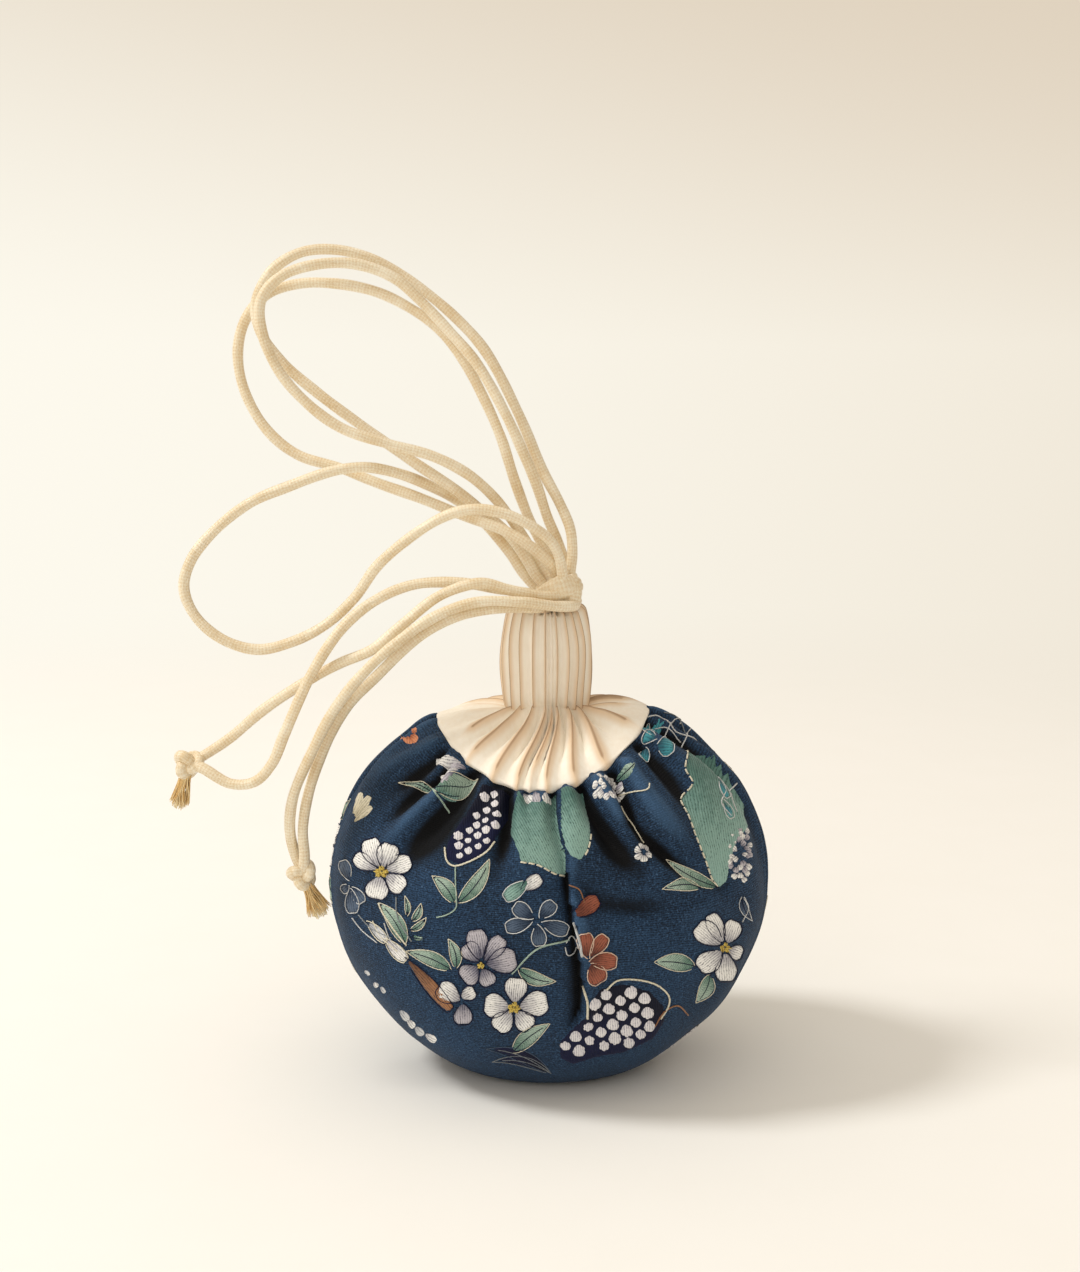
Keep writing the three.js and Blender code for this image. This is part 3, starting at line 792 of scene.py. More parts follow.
class Loom:
    def __init__(self, plain, grid):
        self.plain = plain
        self.flat = ringNormals(plain)
        self.tree = ringTree(plain)
        self.grid = grid
        self.normals = ringNormals(grid)
        self.shapes = {silk: [] for silk in silks}

    # Where the cloth lies under pixels of a pen, and its outward direction there
    def lay(self, pen, spots):
        around = self.grid.shape[1]
        places, normals = [], []
        for u, v in spots:
            place, face = castOn(self.tree, pen, u, v)
            row, column = divmod(face, around)
            after = (column + 1) % around
            corner = self.plain[row, column]
            offset = place - corner
            across, down = self.plain[row, after] - corner, self.plain[row + 1, column] - corner
            s = np.clip(offset @ across / (across @ across), 0, 1)
            t = np.clip(offset @ down / (down @ down), 0, 1)
            for found, source in ((places, self.grid), (normals, self.normals)):
                upper = source[row, column] * (1 - s) + source[row, after] * s
                lower = source[row + 1, column] * (1 - s) + source[row + 1, after] * s
                found.append(upper * (1 - t) + lower * t)
        return np.array(places), np.array(normals)

    # A filled outline. Its threads run from root to tip, or slant to both sides of that line.
    # Silk of a higher order lies over the rest.
    def fill(self, pen, outline, silk, root=None, tip=None, order=0, slant=0.0):
        edge = evenly(np.array(outline, float), weave["edgeStep"])
        low, high = edge.min(0), edge.max(0)
        step = weave["fillStep"]
        # Points in a triangular pattern, clear of the edge
        inside = []
        for j, v in enumerate(np.arange(low[1] + step / 2, high[1], step * 0.87)):
            for u in np.arange(low[0] + step * (0.25 + 0.5 * (j % 2)), high[0], step):
                inside.append((u, v))
        inside = np.array(inside).reshape(-1, 2)
        inside = inside[edgeDistance(inside, edge) > step * 0.42]
        spots = [Vector(spot) for spot in np.vstack([edge, inside])]
        found, _, faces, _, _, _ = delaunay_2d_cdt(spots, [], [list(range(len(edge)))], 1, 1e-4)
        used = sorted({k for face in faces for k in face})
        number = {k: n for n, k in enumerate(used)}
        spots = np.array([found[k] for k in used])
        places, normals = self.lay(pen, spots)
        depth = edgeDistance(spots, edge) / weave["pixelsPerMm"]
        top = weave["silkHeight"] + weave["orderHeight"] * order
        ramp = min(weave["edgeRamp"], depth.max() * 0.6)
        height = -weave["edgeBelow"] + (top + weave["edgeBelow"]) * smooth(depth, 0, ramp)
        root = np.array(root if root is not None else ((low + high) / 2 - (0, 20)), float)
        tip = np.array(tip if tip is not None else ((low + high) / 2 + (0, 20)), float)
        axis = (tip - root) / np.linalg.norm(tip - root)
        along = (spots - root) @ axis / weave["pixelsPerMm"]
        across = (spots - root) @ np.array((-axis[1], axis[0])) / weave["pixelsPerMm"]
        length = np.linalg.norm(tip - root) / weave["pixelsPerMm"]
        lay = np.stack([across, along, along / length], 1)
        if slant:
            lay[:, 0] = along + slant * np.abs(across)
        faces = [tuple(number[k] for k in reversed(face)) for face in faces]
        self.shapes[silk].append((places + normals * height[:, None], faces, lay))

    # One thick thread along a line, by default just above the silk
    def thread(self, pen, line, silk, radius=0.13, height=0.16):
        line = smoothLine(line, 1.8) if len(line) > 2 else evenly(np.array(line, float), 1.8, False)
        places, normals = self.lay(pen, line)
        middle = places + normals * height
        shape = tube(middle, lambda along, angles: radius + 0.03 * np.sin(along * 7 + angles), 6, normals[0])
        shape[2][:, 0] *= radius * 3
        shape[2][:, 2] = 0.8
        self.shapes[silk].append(shape)

    # A dashed thread: short stitches one after another
    def stitches(self, pen, line, silk, radius=0.2, dash=6.0, gap=2.2):
        line = smoothLine(line, 1.0)
        first = 0
        while first + dash <= len(line) - 1:
            part = line[int(first):int(first + dash) + 1]
            self.thread(pen, part[::2] if len(part) > 4 else part, silk, radius, 0.14)
            first += dash + gap

    def finish(self):
        for silk, shapes in self.shapes.items():
            if shapes:
                points, faces, lay = gather(shapes)
                addPiece("silk_" + silk, points, faces, silkFinish(silk), {"lay": lay})


loom = Loom(plainGridPoints, bodyGridPoints)


# Points at even steps along an outline, closed by default
def evenly(points, step, closed=True):
    if closed:
        points = np.vstack([points, points[:1]])
    run = runAlong(points)
    count = max(int(round(run[-1] / step)), 5)
    even = np.linspace(0, run[-1], count + 1)
    spots = np.stack([np.interp(even, run, points[:, k]) for k in (0, 1)], 1)
    return spots[:-1] if closed else spots


# How far each spot is from a closed outline
def edgeDistance(spots, edge):
    nearest = np.full(len(spots), 1e9)
    for a, b in zip(edge, np.roll(edge, -1, 0)):
        step = b - a
        t = np.clip((spots - a) @ step / (step @ step), 0, 1)
        nearest = np.minimum(nearest, np.linalg.norm(spots - a - t[:, None] * step, axis=1))
    return nearest


def silkFinish(name):
    root, tip, between = silks[name]
    dull = name in ("night", "slate")
    silk = Finish("silk_" + name, Sheen_Weight=0.03 if dull else 0.2, Sheen_Roughness=0.35,
                  Specular_IOR_Level=0.15 if dull else 0.35)
    across, _, share = silk.split(silk.attribute("lay"))
    place = silk.place()
    wobble = silk.noise(place, 420, 2)
    ply = (across * (2 * math.pi / weave["threadPitch"]) + wobble * 7).sine()
    hair = silk.noise(place, 2300, 3, 0.6)
    reach = share + silk.noise(place, 700, 2) * 0.5 - 0.25
    colour = silk.mix(reach.between(0.02, 0.75), root, tip)
    speck = silk.noise(place, 1500, 2, 0.6).between(0.5, 0.7)
    # Partly painted shade: darker in the troughs between the threads (ply); the hairs, specks and darker
    # roots are the silk's own colour
    dark = (ply * -0.32 + hair * 0.8 + speck * 0.3 + (1 - share) * 0.2).between(0.5, 1.05)
    colour = silk.mix(dark * 0.8, colour, between)
    height = ply * 0.5 + hair
    return silk.wear(colour, hair * 0.15 + 0.5, silk.bump(height, 0.09, 0.8))


bladeSteps = 12


# An outline that widens from its root and narrows to its tip, and the line up its middle
def blade(root, tip, width, widest, bend, fullness):
    root, tip = np.array(root, float), np.array(tip, float)
    axis = tip - root
    beside = np.array((-axis[1], axis[0])) / np.linalg.norm(axis)
    t = np.linspace(0, 1, bladeSteps + 1)[:, None]
    half = width / 2 * np.sin(math.pi * t ** (math.log(0.5) / math.log(widest))) ** fullness
    spine = root + axis * t + beside * (bend * np.linalg.norm(axis) * 4 * t * (1 - t))
    return np.vstack([spine + beside * half, (spine - beside * half)[-2:0:-1]]), spine


# A full blade with a blunt tip, and a thread round it if it is large or has an edge
def petal(pen, root, tip, width, silk, order, edge=None):
    outline, spine = blade(root, tip, width * 1.06, 0.6, 0.0, 0.55)
    outline[bladeSteps] = spine[-1] * 0.92 + spine[0] * 0.08
    loom.fill(pen, outline, silk, root, tip, order)
    edge = edge or ("night" if width > 11 else None)
    if edge:
        height = 0.11 + weave["orderHeight"] * order
        loom.thread(pen, np.vstack([outline[2:], outline[:1]]), edge, 0.11, height)


# Petals from a centre, each as (across, down, width) to its tip, with a small heart
def flower(pen, centre, tips, silk, heart, heartSize, edge):
    centre = np.array(centre, float)
    for order, (across, down, width) in enumerate(tips):
        tip = centre + (across, down)
        petal(pen, centre + (tip - centre) * 0.13, tip, width, silk, 1 + order % 3, edge)
    if heart:
        for k in range(5):
            turn = k * 2.4
            spot = centre + np.array((math.cos(turn), math.sin(turn))) * heartSize * 0.55
            loom.fill(pen, circle(spot, heartSize * 0.42), heart, order=5)
            loom.thread(pen, [centre, spot * 1.6 - centre * 0.6], heart, 0.1, 0.4)


def circle(centre, radius, squash=1.0):
    turn = np.arange(16) / 16 * 2 * math.pi
    return np.array(centre, float) + np.stack([np.cos(turn) * radius, np.sin(turn) * radius * squash], 1)


# A slimmer blade with a vein, and a thread up each side if it has an edge
def leaf(pen, root, tip, width, silk, bend=0.08, edge="cream"):
    outline, spine = blade(root, tip, width, 0.42, bend, 0.9)
    loom.fill(pen, outline, silk, root, tip, 0, 0.9)
    loom.thread(pen, spine[:-2], "night" if silk != "night" else "grey", 0.1, 0.15)
    if edge:
        oneSide, otherSide = outline[:bladeSteps + 1], outline[:bladeSteps - 1:-1]
        loom.thread(pen, oneSide, edge, 0.1, 0.1)
        loom.thread(pen, otherSide, edge, 0.1, 0.1)


# Dots of tied dyeing on their own dark ground, each a small round field of pale silk
def dotted(pen, outline, dice, spacing, size, turn):
    outline = np.array(outline, float)
    loom.fill(pen, outline, "night")
    edge = evenly(outline, 3)
    low, high = edge.min(0), edge.max(0)
    middle = (low + high) / 2
    reach = int(np.linalg.norm(high - low) / spacing) + 2
    for j in range(-reach, reach + 1):
        for k in range(-reach, reach + 1):
            spot = np.array((k + 0.5 * (j % 2), j * 0.82)) * spacing
            spot = middle + (spot[0] * math.cos(turn) - spot[1] * math.sin(turn),
                             spot[0] * math.sin(turn) + spot[1] * math.cos(turn))
            spot = spot + (dice.uniform(-1.2, 1.2), dice.uniform(-1.2, 1.2))
            if isInside(spot, outline) and edgeDistance(spot[None], edge)[0] > size * 0.75:
                dot = circle(spot, size * dice.uniform(0.85, 1.08), dice.uniform(0.85, 1.0))
                loom.fill(pen, dot, "dots", order=5)


# Whether a line from the spot to the right crosses the outline an odd number of times
def isInside(spot, outline):
    x, y = spot
    after = np.roll(outline, -1, 0)
    crosses = (outline[:, 1] > y) != (after[:, 1] > y)
    run = outline[:, 0] + (y - outline[:, 1]) * (after[:, 0] - outline[:, 0]) / np.where(
        crosses, after[:, 1] - outline[:, 1], 1)
    return np.count_nonzero(crosses & (x < run)) % 2 == 1


# Many small petals crowded in an oval
def cluster(pen, centre, wide, high, count, silk, dice, size):
    for k in range(count):
        turn, out = k * 2.4, math.sqrt((k + 0.5) / count)
        spot = np.array(centre) + (wide * out * math.cos(turn), high * out * math.sin(turn))
        swing = turn + dice.uniform(-0.8, 0.8)
        tip = spot + (size * math.cos(swing), size * math.sin(swing))
        petal(pen, spot, tip, size * 0.85, silk if dice.random() < 0.7 else "mauve", k % 4)


# The front's motifs, in pixels of the photo
frontFlowers = [
    # centre, petals as (across, down, width), silk, heart, heart size, edge
    ((410, 736), [(-11, 3, 10), (-3, -10, 9), (9, -7, 9), (8, 6, 9), (-2, 9, 9)], "coral", None, 0, None),
    ((381, 872), [(-27, -17, 16), (-11, -35, 20), (12, -30, 17), (29, -12, 19), (24, 19, 19),
     (-7, 29, 22)], "white", "yellow", 7, None),
    ((351, 884), [(-8, -25, 12), (-10, 8, 9), (2, 31, 13), (12, 20, 11)], "slate", None, 0, "paleGrey"),
    ((514, 1008), [(-32, -4, 24), (3, -33, 22), (36, -7, 25), (-19, 24, 21), (17, 22, 20)], "white",
     "yellow", 7, None),
    ((481, 965), [(-17, -22, 19), (-6, -38, 21), (24, -30, 17), (-20, 16, 22), (10, 22, 17),
     (38, -8, 25)], "mauve", "yellow", 4, None),
    ((537, 920), [(3, 27, 14), (-24, -16, 15), (18, -19, 14), (-33, 8, 14), (33, 13, 14)], "slate", None,
     0, "paleGrey"),
    ((724, 947), [(-17, -36, 17), (-31, -24, 22), (-27, 23, 22), (12, -28, 19), (2, 36, 21), (19, 8, 15)],
     "white", "yellow", 6, None),
    ((644, 852), [(-10, -4, 8), (-3, -11, 8), (8, -8, 8), (10, 4, 8), (1, 11, 8), (-8, 7, 7)], "white",
     None, 0, None),
]
frontPetals = [
    # root, tip, width, silk, edge
    ((463, 764), (430, 757), 11, "white", None), ((461, 771), (436, 776), 10, "white", None),
    ((457, 773), (440, 787), 8, "mauve", None), ((468, 768), (446, 766), 8, "mauve", None),
    ((521, 890), (543, 876), 14, "white", None), ((530, 880), (503, 900), 14, "leafGreen", "paleGrey"),
    ((587, 957), (584, 930), 15, "rust", "peach"), ((589, 957), (607, 934), 14, "rust", "peach"),
    ((588, 960), (619, 962), 17, "rust", "peach"), ((590, 962), (602, 985), 19, "rust", "peach"),
    ((572, 914), (602, 899), 17, "rust", None), ((460, 1001), (437, 985), 20, "white", None),
    ((463, 1003), (463, 1026), 18, "mauve", None), ((460, 998), (476, 990), 14, "white", None),
    ((399, 1009), (409, 1022), 8, "paleGrey", None), ((406, 1018), (415, 1029), 8, "white", None),
    ((414, 1026), (424, 1036), 9, "paleGrey", None), ((424, 1033), (438, 1041), 8, "white", None),
    ((363, 969), (370, 976), 5, "paleGrey", None), ((373, 981), (378, 988), 6, "white", None),
    ((380, 985), (386, 994), 5, "paleGrey", None), ((384, 938), (408, 962), 12, "white", "cream"),
    ((366, 921), (388, 943), 10, "paleGrey", "cream"), ((405, 957), (455, 1014), 13, "brown", None),
    ((353, 820), (372, 794), 9, "cream", None), ((352, 817), (363, 790), 8, "cream", None),
    ((354, 823), (374, 805), 8, "cream", None), ((647, 745), (645, 758), 12, "teal", "paleGrey"),
    ((655, 742), (642, 735), 10, "teal", "paleGrey"), ((656, 746), (674, 748), 18, "teal", "paleGrey"),
    ((650, 738), (646, 718), 13, "teal", "paleGrey"), ((655, 735), (661, 719), 10, "teal", None),
    ((524, 791), (531, 803), 10, "white", None), ((534, 791), (538, 806), 10, "mauve", None),
    ((545, 791), (548, 805), 10, "white", None), ((718, 778), (728, 800), 8, "teal", "paleGrey"),
    ((722, 800), (732, 820), 8, "teal", "paleGrey"),
]
frontLeaves = [
    # root, tip, width, silk, bend, edge
    ((433, 790), (396, 781), 8, "green", 0.1, "cream"),
    ((434, 791), (477, 774), 19, "green", 0.05, "cream"),
    ((437, 794), (460, 789), 10, "leafGreen", 0.1, None),
    ((455, 903), (432, 876), 15, "green", 0.1, "cream"),
    ((458, 903), (489, 859), 16, "green", 0.08, "cream"),
    ((721, 888), (671, 859), 13, "green", -0.06, "cream"),
    ((702, 888), (662, 889), 12, "green", 0.1, "cream"),
    ((695, 966), (654, 962), 18, "green", 0.05, "cream"),
    ((710, 974), (697, 1004), 14, "green", -0.1, "cream"),
    ((406, 944), (378, 903), 17, "green", 0.08, "cream"),
    ((413, 921), (422, 903), 8, "green", 0.1, "cream"),
    ((408, 916), (405, 896), 6, "green", 0.1, "cream"),
    ((411, 930), (427, 917), 7, "green", 0.1, "cream"), ((412, 936), (426, 938), 6, "green", 0.1, None),
    ((451, 970), (406, 951), 15, "green", 0.05, "cream"),
    ((456, 969), (448, 939), 12, "green", 0.1, "cream"),
    ((518, 968), (556, 982), 14, "green", 0.1, "cream"),
    ((512, 1053), (550, 1024), 16, "green", -0.05, "cream"),
    ((551, 1073), (486, 1049), 12, "night", 0.08, "slate"),
    ((551, 1073), (492, 1062), 10, "night", 0.1, "grey"),
    ((617, 777), (634, 766), 12, "green", 0.1, None),
    ((742, 897), (752, 921), 8, "slate", 0.1, "paleGrey"),
]
frontPatches = [
    # outline, silk, edge line
    ([(518, 789), (511, 810), (509, 833), (518, 851), (521, 862), (538, 865), (555, 874), (566, 877),
     (566, 856), (560, 833), (557, 813), (556, 789), (541, 803), (527, 799)], "leafGreen", "cream",
     [(521, 862), (538, 865), (555, 874), (566, 877)]),
    ([(560, 789), (583, 787), (591, 819), (591, 836), (587, 851), (580, 861), (570, 856), (564, 845),
     (560, 828)], "leafGreen", "cream", [(591, 834), (587, 851), (580, 861)]),
    ([(690, 747), (684, 768), (692, 784), (684, 796), (690, 816), (695, 834), (702, 854), (713, 877),
     (722, 889), (729, 882), (731, 862), (737, 842), (751, 825), (747, 804), (733, 779), (713, 756)],
     "leafGreen", "cream", [(690, 747), (684, 768), (692, 784), (684, 796), (690, 816), (695, 834),
     (702, 854), (713, 877), (722, 889)]),
]
frontStems = [
    # line, silk, thickness
    ([(434, 790), (440, 799), (445, 809)], "green", 0.2),
    ([(455, 866), (456, 891), (456, 908), (446, 915), (437, 917)], "green", 0.15),
    ([(512, 973), (538, 948), (569, 941)], "green", 0.2),
    ([(621, 805), (635, 822), (647, 842)], "cream", 0.16),
    ([(621, 790), (644, 793), (647, 786)], "cream", 0.16),
    ([(570, 885), (579, 890), (584, 903)], "brown", 0.14),
    ([(574, 922), (579, 938), (582, 955)], "paleGrey", 0.3),
    ([(584, 988), (587, 1000), (587, 1017)], "cream", 0.28),
    ([(396, 897), (398, 916), (412, 941)], "grey", 0.16),
    ([(378, 903), (382, 912), (395, 930), (407, 945)], "cream", 0.22),
    ([(566, 944), (571, 938), (578, 943), (576, 955), (568, 957), (565, 948)], "paleGrey", 0.14),
    ([(352, 918), (362, 931), (377, 943)], "paleGrey", 0.14),
    ([(358, 915), (370, 928), (392, 938)], "grey", 0.14),
    ([(372, 921), (380, 936), (398, 951)], "cream", 0.14),
    ([(384, 923), (391, 940), (407, 955)], "paleGrey", 0.14),
    ([(648, 716), (662, 720), (676, 731), (701, 743)], "paleGrey", 0.17),
    ([(652, 722), (668, 727), (684, 738)], "paleGrey", 0.15),
    ([(662, 716), (675, 722), (690, 733)], "grey", 0.15),
    ([(668, 733), (671, 722), (680, 724)], "paleGrey", 0.15),
    ([(686, 742), (688, 731), (697, 735)], "paleGrey", 0.15),
    ([(719, 776), (725, 790), (720, 803), (730, 816)], "paleGrey", 0.15),
    ([(736, 784), (731, 797), (736, 812)], "paleGrey", 0.15),
    ([(744, 897), (748, 908), (742, 922)], "paleGrey", 0.14),
    ([(443, 847), (446, 861), (453, 866), (473, 860), (487, 851), (494, 841)], "cream", 0.2),
    ([(607, 991), (618, 981), (641, 980), (659, 986), (669, 997), (668, 1006), (660, 1018)], "cream",
     0.2),
    ([(654, 1025), (664, 1011), (678, 1006), (689, 1016)], "brown", 0.18),
]
frontDots = [
    # ground, spacing, dot size, turn
    ([(482, 782), (509, 788), (507, 816), (498, 834), (492, 846), (476, 859), (458, 865), (446, 860),
     (443, 850), (448, 836), (461, 816), (475, 796)], 11.5, 5.4, 0.5),
    ([(590, 1002), (601, 990), (624, 984), (650, 991), (664, 1006), (665, 1020), (653, 1038), (624, 1052),
     (596, 1057), (573, 1064), (560, 1058), (559, 1043), (572, 1028), (584, 1016)], 14.5, 6.8, 0.35),
]
frontClusters = [
    # centre, half width, half height, count, silk, petal size
    ((609, 788), 12, 9, 24, "white", 8), ((741, 853), 8, 24, 34, "white", 8),
]


def makeFront():
    dice = random.Random(4)
    for outline, silk, edge, line in frontPatches:
        loom.fill(photoRay, outline, silk, outline[0], outline[len(outline) // 2], 0)
        loom.stitches(photoRay, line, edge)
    for outline, spacing, size, turn in frontDots:
        dotted(photoRay, outline, dice, spacing, size, turn)
    for root, tip, width, silk, bend, edge in frontLeaves:
        leaf(photoRay, root, tip, width, silk, bend, edge)
    for line, silk, thickness in frontStems:
        loom.thread(photoRay, line, silk, thickness)
    for centre, wide, high, count, silk, size in frontClusters:
        cluster(photoRay, centre, wide, high, count, silk, dice, size)
    for order, (root, tip, width, silk, edge) in enumerate(frontPetals):
        petal(photoRay, root, tip, width, silk, 1 + order % 3, edge)
    for centre, tips, silk, heart, size, edge in frontFlowers:
        flower(photoRay, centre, tips, silk, heart, size, edge)
    print("front motifs laid")


# A pen that draws straight onto the cloth around one spot, turned by some angle
def penAt(spot, normal, turn):
    across = np.cross((0, 0, 1), normal)
    across /= np.linalg.norm(across)
    down = np.cross(across, normal)
    right = across * math.cos(turn) + down * math.sin(turn)
    below = down * math.cos(turn) - across * math.sin(turn)

    def pen(u, v):
        start = spot + normal * 15 + (right * u + below * v) / weave["pixelsPerMm"]
        return Vector(start), Vector(-normal)
    return pen


# A flower of five petals with three leaves
def sprig(pen, dice, silk, heart, edge, reach):
    tips = []
    for k in range(5):
        turn = 2 * math.pi * (k + dice.uniform(-0.12, 0.12)) / 5
        out = reach * dice.uniform(0.85, 1.1)
        tips.append((out * math.cos(turn), out * math.sin(turn), reach * dice.uniform(0.62, 0.74)))
    flower(pen, (0, 0), tips, silk, heart, 6, edge)
    for k, turn in enumerate((dice.uniform(0.5, 0.9), dice.uniform(2.2, 2.8), dice.uniform(4.2, 4.8))):
        way = np.array((math.cos(turn), math.sin(turn)))
        leaf(pen, way * reach * 1.05, way * reach * dice.uniform(1.9, 2.2), reach * 0.5, "green",
             0.08 if k % 2 else -0.08)


# A patch of tied dots, shaped like a drop, with two leaves
def dottedSprig(pen, dice):
    tall, wide = dice.uniform(38, 48), dice.uniform(24, 30)
    turns = np.linspace(0, 2 * math.pi, 18, endpoint=False)
    outline = np.stack([wide * np.sin(turns) * (1 - 0.25 * np.cos(turns)), -tall * np.cos(turns)], 1)
    dotted(pen, outline, dice, 13.5, 6.2, 0.4)
    loom.thread(pen, outline[5:14] * 1.12, "cream", 0.2)
    leaf(pen, (0, tall * 1.1), (wide * 0.9, tall * 1.9), 15, "green")
    leaf(pen, (0, tall * 1.1), (-wide * 0.9, tall * 1.7), 14, "green", -0.08)


# A large leaf with a small one and a cluster of petals
def leafSprig(pen, dice):
    leaf(pen, (0, 42), (0, -46), 46, "leafGreen", dice.uniform(-0.05, 0.05))
    cluster(pen, (22, 30), 10, 16, 18, "white", dice, 8)
    leaf(pen, (-6, 44), (-34, 22), 13, "green")


# The back and sides, which the photo doesn't show: more of the same motifs, spread by chance
backMotifs = {
    "tries": 4000,
    "rows": (24, 154),           # below the seam
    "rooms": (12.5, 11, 11, 12.5, 7.5, 11, 9.5),   # half of each kind's own room on the cloth
    "away": 0.007,               # how far it must face from the camera, for each mm of room
}


def makeBack():
    dice = random.Random(8)
    placed = []
    first, last = [body["capRows"] + row for row in backMotifs["rows"]]
    for _ in range(backMotifs["tries"]):
        row = dice.randrange(first, last)
        column = dice.randrange(body["around"])
        spot, normal = loom.plain[row, column], loom.flat[row, column]
        toCamera = np.array(photo["place"]) - spot
        kind = len(placed) % len(backMotifs["rooms"])
        room = backMotifs["rooms"][kind]
        facing = normal @ toCamera / np.linalg.norm(toCamera)
        if facing > -backMotifs["away"] * room:
            continue
        if any(np.linalg.norm(spot - other) < room + reach for other, reach in placed):
            continue
        placed.append((spot, room))
        pen = penAt(spot, normal, dice.uniform(-1.2, 1.2))
        if kind in (0, 3):
            sprig(pen, dice, "white", "yellow", None, 31)
        elif kind in (1, 5):
            dottedSprig(pen, dice)
        elif kind == 2:
            sprig(pen, dice, "slate", None, "paleGrey", 27)
        elif kind == 4:
            sprig(pen, dice, "rust", None, "peach", 19)
        else:
            leafSprig(pen, dice)
    print("back motifs laid:", len(placed))


makeFront()
makeBack()
loom.finish()


# The collar: pleats that run up the neck as even ribs, and fan out below it into folds
collar = {
    "clothThickness": 0.3,
    "waistHeight": (84.1, 87.4),   # at the sides and at the front
    "waistRadius": 8.5,
    "topHeight": 108.3,
    "topRadius": 7.9,
    "bellyRadius": 10.0,           # of the neck, between waist and top
    "lobe": (2.2, 0.2),            # how much the skirt is rounded, at the sides and at the front
    "flare": (0.22, 0.1),
    "drop": (0.3, 0.4),
    "pleatWidth": 2.6,
    "lean": 1.6,                   # degrees that the ribs lean over on the skirt
    "lumps": (12, 0.06, 7, 20),    # how many waves, how high, the shortest and the longest
    "backPleats": 9,
    "samples": 28,
    "hemRows": 4,
    "skirtRows": 52,
    "neckRows": 36,
    "rimRows": 10,
    "neckDepth": 1.7,
    "skirtDepth": 3.0,
}
# Each groove: its angle round the neck and round the seam, in degrees, and how deep it is in
# the neck, in the skirt and at the seam
fan = [
    (-203, -200, 0.9, 0.6, 0.3), (-183, -180, 0.8, 0.3, 0.1), (-163, -168, 0.8, 0.25, 0.1),
    (-142, -146, 1, 0.8, 0.25), (-125, -132, 1, 1, 0.8), (-107, -116, 1, 1.05, 0.9), (-91, -103, 1, 1, 0.9),
    (-83, -96.5, 0.15, 0.55, 0.6), (-76, -88, 1, 1, 0.9), (-61, -73, 1, 1.05, 0.9), (-47, -55.5, 1, 1.1, 0.9),
    (-34, -27, 1, 1, 0.5), (-10, -4, 0.9, 0.45, 0.2), (10, 12, 0.9, 0.6, 0.3),
]


def collarOutline(which):
    seam, dip = body["seamHalf"][which], body["seamDip"][which]
    edge = body["seamHeight"] - dip + collar["clothThickness"]
    waist, waistZ = collar["waistRadius"], collar["waistHeight"][which]
    reach, fall = seam - waist, waistZ - edge
    length = collar["topHeight"] - waistZ
    lobe, flare, drop = collar["lobe"][which], collar["flare"][which], collar["drop"][which]
    hem = np.array([(seam - 2.4, edge - 2.0), (seam - 1.2, edge - 1.5), (seam - 0.35, edge - 0.9),
                    (seam + 0.02, edge - 0.45)])
    skirt = bezier([(seam, edge), (seam - reach * 0.3, edge + fall * 0.42 + lobe),
                    (waist + reach * flare, waistZ - fall * drop + lobe), (waist, waistZ)],
                   collar["skirtRows"])
    neck = bezier([(waist, waistZ), (collar["bellyRadius"], waistZ + length * 0.2),
                   (collar["bellyRadius"], waistZ + length * 0.7),
                   (collar["topRadius"] + 0.3, collar["topHeight"] - 0.9)], collar["neckRows"])
    top, topZ = collar["topRadius"], collar["topHeight"]
    rim = bezier([(top + 0.3, topZ - 0.9), (top + 0.1, topZ + 0.4), (top - 2.2, topZ + 0.5),
                  (top - 4.2, topZ - 0.7)], collar["rimRows"])
    floor = np.array([(1.2, topZ - 1.0)])
    return np.vstack([hem, skirt, neck[1:], rim[1:], floor])


# Even grooves round the back, then those of the front
def allGrooves():
    last, first, count = fan[-1], fan[0], collar["backPleats"]
    atNeck, atSeam = [np.linspace(last[k] - 360, first[k], count, endpoint=False) for k in (0, 1)]
    back = [(neck, seam, 1, 1, 0.6) for neck, seam in zip(atNeck, atSeam)]
    return np.array([*back, *fan])


